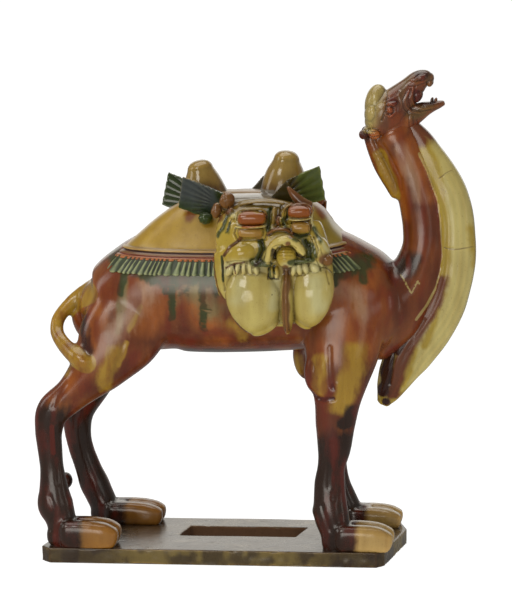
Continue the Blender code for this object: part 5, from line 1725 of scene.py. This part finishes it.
        # Pale: the strokes over the lobes and along the forehead rim are painted highlights; on the
        # teeth and the other rims it is pale glaze.
        paint(bag, "pale", (Stroke(((0.056, 0.478), (0.054, 0.440)), 0.009, 1.0),
                            Stroke(((0.120, 0.478), (0.124, 0.440)), 0.012, 0.9),
                            Stroke(((0.000, 0.475), (-0.006, 0.450)), 0.010, 0.6),
                            Stroke(((-0.024, 0.499), (0.004, 0.503), (0.030, 0.501)), 0.0100, 0.8),
                            Stroke(((0.080, 0.501), (0.105, 0.503), (0.124, 0.501)), 0.0100, 0.8),
                            Stroke(((-0.012, 0.600), (0.022, 0.606), (0.051, 0.605)), 0.0016, 1.0),
                            Stroke(((0.115, 0.597), (0.114, 0.574), (0.124, 0.554), (0.136, 0.537),
                                    (0.145, 0.522)), 0.0022, 0.9),
                            Stroke(((-0.009, 0.5668), (0.018, 0.5680), (0.041, 0.5690)), 0.0018, 0.9),
                            Stroke(((0.079, 0.5787), (0.112, 0.5808)), 0.0016, 0.8),
                            Stroke(((-0.008, 0.580), (-0.006, 0.591), (0.006, 0.5965),
                                    (0.030, 0.597)), 0.0018, 0.8),
                            Stroke(((0.112, 0.586), (0.110, 0.601), (0.094, 0.6045)), 0.0018, 0.9),
                            Stroke(((-0.016, 0.586), (-0.008, 0.581)), 0.0050, 0.9)), seed + 1)
        paint(bag, "brown", (Stroke(((0.0735, 0.500), (0.0735, 0.396)), 0.0070, 1.1),
                             Stroke(((-0.030, 0.498), (-0.018, 0.506), (0.004, 0.510)), 0.0016, 0.8),
                             Stroke(((-0.012, 0.506), (-0.012, 0.492)), 0.0010, 0.8),
                             Stroke(((-0.027, 0.612), (-0.028, 0.598)), 0.014, 1.3),
                             Stroke(((-0.046, 0.594), (-0.046, 0.582)), 0.012, 1.2),
                             Stroke(((0.106, 0.597), (0.094, 0.606), (0.075, 0.629)), 0.0110, 1.3),
                             Stroke(((0.140, 0.513),), 0.0115, 1.2),
                             Stroke(((0.046, 0.557), (0.058, 0.564), (0.073, 0.564), (0.083, 0.557)),
                                    0.0038, 1.2),
                             Stroke(((0.059, 0.584), (0.060, 0.572)), 0.004, 0.8),
                             Stroke(((-0.030, 0.520), (-0.019, 0.537), (-0.001, 0.549)), 0.0030, 1.0),
                             Stroke(((-0.051, 0.551), (-0.051, 0.510), (-0.043, 0.458),
                                     (-0.017, 0.415), (0.016, 0.382)), 0.0024, 1.0),
                             Stroke(((0.077, 0.544),), 0.0052, 0.9)), seed + 2)
        paint(bag, "eye", tuple(Stroke(((ex - half * 0.60, ez), (ex + half * 0.60, ez)), high, 1.6)
                                for ex, ez, half, high in self.eyes), seed + 3)
        paint(bag, "lid", tuple(Stroke(((ex - half * 0.55, ez), (ex + half * 0.55, ez)), high, 1.6)
                                for ex, ez, half, high in self.lids), seed + 6)
        brow = np.minimum((z - 0.590) / 0.006, np.minimum((x + 0.020) / 0.008, (0.114 - x) / 0.008))
        between = Stroke(((0.056, 0.600), (0.056, 0.575)), 0.009, 1.1).cover(points[:, [0, 2]], y)
        put_field(bag, "brow", np.clip(np.maximum(brow, between), -1, 1))
        paint(bag, "green", (Stroke(((0.022, 0.510), (0.032, 0.510)), 0.0070, 1.3),
                             Stroke(((0.034, 0.508), (0.049, 0.506)), 0.0032, 1.2),
                             Stroke(((0.084, 0.510), (0.098, 0.514), (0.118, 0.516)), 0.0048, 1.3),
                             Stroke(((0.034, 0.545), (0.037, 0.531), (0.030, 0.516)), 0.0055, 1.2),
                             Stroke(((0.105, 0.545), (0.112, 0.531), (0.111, 0.518)), 0.0055, 1.1),
                             Stroke(((0.046, 0.596), (0.045, 0.575), (0.043, 0.562)), 0.0040, 1.1),
                             Stroke(((0.074, 0.594), (0.073, 0.578)), 0.0036, 1.0),
                             Stroke(((0.066, 0.580), (0.076, 0.562)), 0.0035, 0.7),
                             Stroke(((0.086, 0.556), (0.096, 0.550), (0.108, 0.553)), 0.0035, 0.7),
                             Stroke(((0.0485, 0.500), (0.0490, 0.484)), 0.0026, 0.9),
                             Stroke(((0.0560, 0.503), (0.0565, 0.494)), 0.0020, 0.7),
                             Stroke(((0.116, 0.562), (0.128, 0.546)), 0.0032, 0.7),
                             Stroke(((0.115, 0.540), (0.122, 0.520)), 0.0032, 0.7),
                             Stroke(((-0.024, 0.590), (-0.030, 0.566), (-0.040, 0.552)), 0.0040, 0.8),
                             Stroke(((-0.018, 0.572), (-0.023, 0.556)), 0.0026, 0.7),
                             Stroke(((-0.034, 0.516), (-0.033, 0.480)), 0.0026, 1.1)), seed + 4)
        # Near black laid into the nostrils, the gaps between the teeth and the seams, and a few dots.
        paint(bag, "near_black_lines", (Stroke(((0.0550, 0.532), (0.0540, 0.516)), 0.0034, 1.3),
                           Stroke(((0.0935, 0.525), (0.1010, 0.520)), 0.0034, 1.3),
                           Stroke(((0.026, 0.508), (0.030, 0.511)), 0.0040, 0.8),
                           Stroke(((-0.0010, 0.503), (0.0005, 0.494)), 0.0012, 0.9),
                           Stroke(((-0.0105, 0.503), (-0.0100, 0.496)), 0.0010, 0.8),
                           Stroke(((0.0440, 0.490), (0.0440, 0.4835), (0.0600, 0.4825)), 0.0012, 0.9),
                           Stroke(((-0.0330, 0.512), (-0.0325, 0.480)), 0.0012, 0.7),
                           Stroke(((0.0540, 0.4640),), 0.0010, 0.9),
                           Stroke(((0.0490, 0.4560),), 0.0008, 0.9)), seed + 5)
        put_field(bag, "deep", np.clip((0.084 - out) / 0.012, -1, 1))
        points[:, 2] -= self.drop
        write(bag, points)
        finish = SancaiFinish("butter_glaze" if self.side < 0 else "butter_glaze_far",
                              glaze_rgb(162, 138, 50), (
            GlazeLayer("deep", glaze_rgb(140, 114, 34), 0.8, 0.5, 0.4, 0.7),
            GlazeLayer("cream", glaze_rgb(178, 161, 90), 0.45, 0.4, 0.3),
            # pale glaze, and the painted highlights on the lobes and the forehead rim
            GlazeLayer("pale", glaze_rgb(186, 180, 130), 0.7, 0.5, 0.3, 0.75),
            GlazeLayer("brow", glaze_rgb(112, 88, 38), 0.6, 0.5, 0.3, 0.9),
            GlazeLayer("green", glaze_rgb(38, 54, 20), 0.5, 1.2, 0.4, 0.9),
            GlazeLayer("brown", glaze_rgb(98, 56, 26), 0.4, 0.6, 0.4, 0.9),
            GlazeLayer("eye", glaze_rgb(128, 68, 22), 0.3, 0.8, 0.2),
            GlazeLayer("lid", glaze_rgb(142, 104, 42), 0.35, 0.8, 0.2, 0.9),
            GlazeLayer("near_black_lines", glaze_rgb(46, 32, 16), 0.4, 0.8, 0.2, 0.9)),
            pooling=0.75, streaks=0.34, pool_colour=(0.30, 0.24, 0.10))
        bag.data.materials.append(finish.material(tools))


@dataclass
class Plinth:
    """The flat plinth with clipped corners, worn edges and the slot cut through it."""

    outline: Path = ((-0.347, -0.103), (-0.331, -0.121), (0.216, -0.121), (0.229, -0.105),
                     (0.254, 0.062), (0.238, 0.123), (-0.300, 0.123), (-0.319, 0.104))
    slot: Path = ((-0.127, -0.011), (0.070, -0.011), (0.083, 0.061), (-0.118, 0.061))

    def build(self) -> bpy.types.Object:
        """Model the plinth, chip its edges and keep its underside flat.

        Returns:
            The plinth.
        """
        shape = bmesh.new()
        rings = [[shape.verts.new((x, y, 0.0)) for x, y in ring]
                 for ring in (self.outline, self.slot)]
        edges = [shape.edges.new((ring[i], ring[(i + 1) % len(ring)]))
                 for ring in rings for i in range(len(ring))]
        bmesh.ops.triangle_fill(shape, edges=edges, use_beauty=True)
        raised = bmesh.ops.extrude_face_region(shape, geom=list(shape.faces))
        lifted = [item for item in raised["geom"] if isinstance(item, bmesh.types.BMVert)]
        bmesh.ops.translate(shape, verts=lifted, vec=(0.0, 0.0, PLINTH_TOP))
        bmesh.ops.recalc_face_normals(shape, faces=shape.faces)
        mesh = bpy.data.meshes.new("plinth")
        shape.to_mesh(mesh)
        shape.free()
        piece = bpy.data.objects.new("plinth", mesh)
        bpy.context.scene.collection.objects.link(piece)
        unite = piece.modifiers.new("unite", "REMESH")
        unite.mode = "VOXEL"
        unite.voxel_size = 0.0017
        melt = piece.modifiers.new("melt", "SMOOTH")
        melt.factor = 0.5
        melt.iterations = 3
        settle(piece)
        points, normals = read(piece), read(piece, "normal")
        flat = np.abs(normals[:, 2])
        edge = smoothstep(0.97, 0.75, flat) * smoothstep(0.15, 0.5, flat)
        side = smoothstep(0.5, 0.2, flat)
        chips = np.maximum(mottle(points, 0.014, 141) - 0.15, 0) * edge * 0.0030
        waves = (0.0008 * mottle(points, 0.035, 142) + 0.0005 * mottle(points, 0.010, 143)) * side
        top = 0.0004 * mottle(points, 0.05, 144) * smoothstep(0.8, 0.97, normals[:, 2])
        dents = np.maximum(mottle(points, 0.009, 145) - 0.55, 0) * 0.0012 * (normals[:, 2] > 0.9)
        move = waves + top - chips - dents - 0.0004 * side
        moved = points + normals * move[:, None]
        moved[:, 2] = np.clip(moved[:, 2], 0.0, None)
        write(piece, moved)
        thin(piece, 70000)
        return piece

    def dress(self, piece: bpy.types.Object, tools: GlazeTools) -> None:
        """Lay the worn glaze on the plinth, with painted shadow around the feet.

        Args:
            piece: The plinth.
            tools: The shared node groups.
        """
        points, normals = read(piece), read(piece, "normal")
        x, y, _ = points.T
        put_field(piece, "pool", hollows(piece))
        side = np.clip((0.55 - np.abs(normals[:, 2])) / 0.25, -1, 1)
        inner = ((x > -0.135) & (x < 0.09) & (y > -0.016) & (y < 0.066))
        put_field(piece, "olive", np.where(inner, -1, side))
        put_field(piece, "cut", np.where(inner, side, -1.0))
        blotch = mottle(points, 0.030, 151) + 0.5 * mottle(points, 0.011, 152)
        put_field(piece, "dark", np.clip(np.where(side > 0, blotch * 1.2 - 0.25,
                                                  blotch * 0.9 - 0.25), -1, 1))
        put_field(piece, "worn", np.clip(mottle(points, 0.022, 153) * 1.2
                                         + 0.6 * mottle(points, 0.007, 154) - 0.55, -1, 1))
        # Painted shadow: the plinth darkens around each foot, where the camel shades it.
        feet = np.full(len(points), -1.0)
        for foot_x, foot_y in ((-0.285, -0.090), (-0.238, 0.090), (0.180, -0.088), (0.185, 0.090)):
            near = 1 - np.hypot((x - foot_x) / 0.085, (y - foot_y) / 0.050)
            feet = np.maximum(feet, near * 1.6)
        put_field(piece, "shade", np.clip(feet, -1, 1))
        put_field(piece, "bare", np.clip(np.where(inner & (side > 0), 0.9, 0.0), 0, 1))
        finish = SancaiFinish("worn_glaze_and_shadow", glaze_rgb(92, 76, 56), (
            GlazeLayer("worn", glaze_rgb(146, 132, 108), 0.4, 0.9, 0.0, 0.7),
            GlazeLayer("olive", glaze_rgb(112, 94, 44), 0.3, 0.4, 0.2),
            GlazeLayer("dark", glaze_rgb(52, 38, 24), 0.45, 0.9, 0.0, 0.75),
            # the painted shadow around the feet
            GlazeLayer("shade", glaze_rgb(46, 30, 20), 0.7, 0.6, 0.0, 0.75),
            GlazeLayer("cut", glaze_rgb(80, 54, 32), 0.3, 0.5, 0.2)),
            roughness=0.28, rough_spread=0.25, streaks=0.3, specks=0.6, relief=0.3,
            coat_roughness=0.24,
            bare_field="bare")
        piece.data.materials.append(finish.material(tools))


@dataclass
class Studio:
    """The camera at the photograph's angle, the soft lights and the pale floor."""

    azimuth: float = 7.0
    elevation: float = 8.5
    distance: float = 5.0
    aim: Row = (-0.002, 0.0, 0.430)
    roll: float = 0.7
    lens: float = 180.0
    warmth: Colour = (1.0, 0.965, 0.89)

    def build(self) -> None:
        """Set up the camera, the lights, the world and the floor."""
        bpy.context.scene.view_settings.view_transform = "Standard"
        self.camera()
        self.light("backdrop", (0.0, 7.0, 2.7), (0, 0, 1.0), (9.0, 4.2), 80)
        self.light("overhead", (-0.3, 0.3, 2.8), (0, 0, 0.3), (3.0, 2.0), 37)
        self.light("left", (-4.2, -0.5, 2.2), (0, 0, 0.4), (1.3, 1.7), 15)
        self.light("key", (-2.6, -4.2, 4.0), (0, 0, 0.4), (2.0, 1.8), 60)
        self.light("window", (-1.4, -5.6, 0.85), (0, 0, 0.45), (2.6, 2.4), 62)
        self.light("window_right", (3.0, -5.0, 1.05), (0.1, 0, 0.45), (1.3, 1.1), 4)
        self.light("right", (4.4, -1.7, 0.95), (0.1, 0, 0.45), (0.5, 1.6), 3.5)
        world = bpy.data.worlds.new("studio")
        world.use_nodes = True
        world.node_tree.nodes["Background"].inputs[0].default_value = (*self.warmth, 1)
        world.node_tree.nodes["Background"].inputs[1].default_value = 0.20
        bpy.context.scene.world = world
        self.floor()

    def floor(self) -> bpy.types.Object:
        """Lay the pale floor, which shines less in the glaze than to the eye.

        Returns:
            The floor.
        """
        sheet = bpy.data.meshes.new("floor")
        sheet.from_pydata([(-70, -70, -0.0004), (70, -70, -0.0004), (70, 70, -0.0004),
                           (-70, 70, -0.0004)], [], [(0, 1, 2, 3)])
        floor = bpy.data.objects.new("floor", sheet)
        bpy.context.scene.collection.objects.link(floor)
        pale = bpy.data.materials.new("pale_floor")
        pale.use_nodes = True
        tree = pale.node_tree
        shader = tree.nodes["Principled BSDF"]
        shader.inputs["Base Color"].default_value = (0.16, 0.16, 0.16, 1)
        shader.inputs["Roughness"].default_value = 0.9
        shader.inputs["Specular IOR Level"].default_value = 0.0
        shader.inputs["Emission Color"].default_value = (1, 1, 1, 1)
        rays = tree.nodes.new("ShaderNodeLightPath")
        dim = tree.nodes.new("ShaderNodeMath")
        dim.operation = "MULTIPLY_ADD"
        dim.inputs[1].default_value = -0.90
        dim.inputs[2].default_value = 1.00
        tree.links.new(rays.outputs["Is Glossy Ray"], dim.inputs[0])
        tree.links.new(dim.outputs[0], shader.inputs["Emission Strength"])
        floor.data.materials.append(pale)
        return floor

    def camera(self) -> None:
        """Stand the camera where the photograph was taken from."""
        lens = bpy.data.cameras.new("camera")
        lens.sensor_fit = "VERTICAL"
        lens.sensor_height = 36.0
        lens.lens = self.lens
        lens.clip_end = 100.0
        item = bpy.data.objects.new("camera", lens)
        bpy.context.scene.collection.objects.link(item)
        turn, rise = math.radians(self.azimuth), math.radians(self.elevation)
        back = Vector((math.sin(turn) * math.cos(rise), -math.cos(turn) * math.cos(rise),
                       math.sin(rise)))
        right = (-back).cross(Vector((0, 0, 1))).normalized()
        up = right.cross(-back)
        tip = math.radians(self.roll)
        level = right * math.cos(tip) - up * math.sin(tip)
        upright = up * math.cos(tip) + right * math.sin(tip)
        matrix = Matrix((level, upright, back)).transposed().to_4x4()
        matrix.translation = Vector(self.aim) + back * self.distance
        item.matrix_world = matrix
        bpy.context.scene.camera = item

    def light(self, name: str, place: Row, target: Row, size: Row,
              power: float) -> None:
        """Hang one soft light.

        Args:
            name: Its name.
            place: Where it hangs.
            target: What it points at.
            size: Its width and height.
            power: Its power in watts.
        """
        lamp = bpy.data.lights.new(name, "AREA")
        lamp.shape = "RECTANGLE"
        lamp.size, lamp.size_y = size
        lamp.energy = power
        lamp.color = self.warmth
        item = bpy.data.objects.new(name, lamp)
        item.location = place
        item.rotation_euler = (Vector(place) - Vector(target)).to_track_quat("Z", "Y").to_euler()
        bpy.context.scene.collection.objects.link(item)


def finish_piece(piece: bpy.types.Object) -> None:
    """Move a piece to the frame of the solid, shade it smooth and tie it to the frame.

    Args:
        piece: The piece.
    """
    piece.data.transform(Matrix.Translation((MODEL_SHIFT, 0.0, 0.0)))
    piece.data.shade_smooth()
    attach(piece, "root")
    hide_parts(NODE)
    triangles = sum(len(face.vertices) - 2 for face in piece.data.polygons)
    LOG.info("%s: %d triangles", piece.name, triangles)


def main() -> None:
    """Build every piece in order and report it."""
    logging.basicConfig(level=logging.INFO, format="%(name)s %(message)s")
    tools = GlazeTools()
    camel = Camel()
    for piece in camel.build():
        camel.dress(piece, tools)
        finish_piece(piece)
    beard = Beard()
    hair = beard.build()
    beard.dress(hair, tools)
    finish_piece(hair)
    textile = SaddleCloth()
    cloth, fringe = textile.build()
    textile.dress(cloth, fringe, tools)
    saddle = Saddle()
    humps, boards = saddle.build()
    saddle.dress(humps, boards, tools)
    for piece in (cloth, fringe, humps, boards):
        finish_piece(piece)
    for side, drop in ((-1, 0.0), (1, 0.016)):
        mask = MaskBag(side, drop)
        bag = mask.build()
        mask.dress(bag, tools)
        finish_piece(bag)
    base = Plinth()
    slab = base.build()
    base.dress(slab, tools)
    finish_piece(slab)
    Studio().build()


if __name__ == "__main__":
    main()
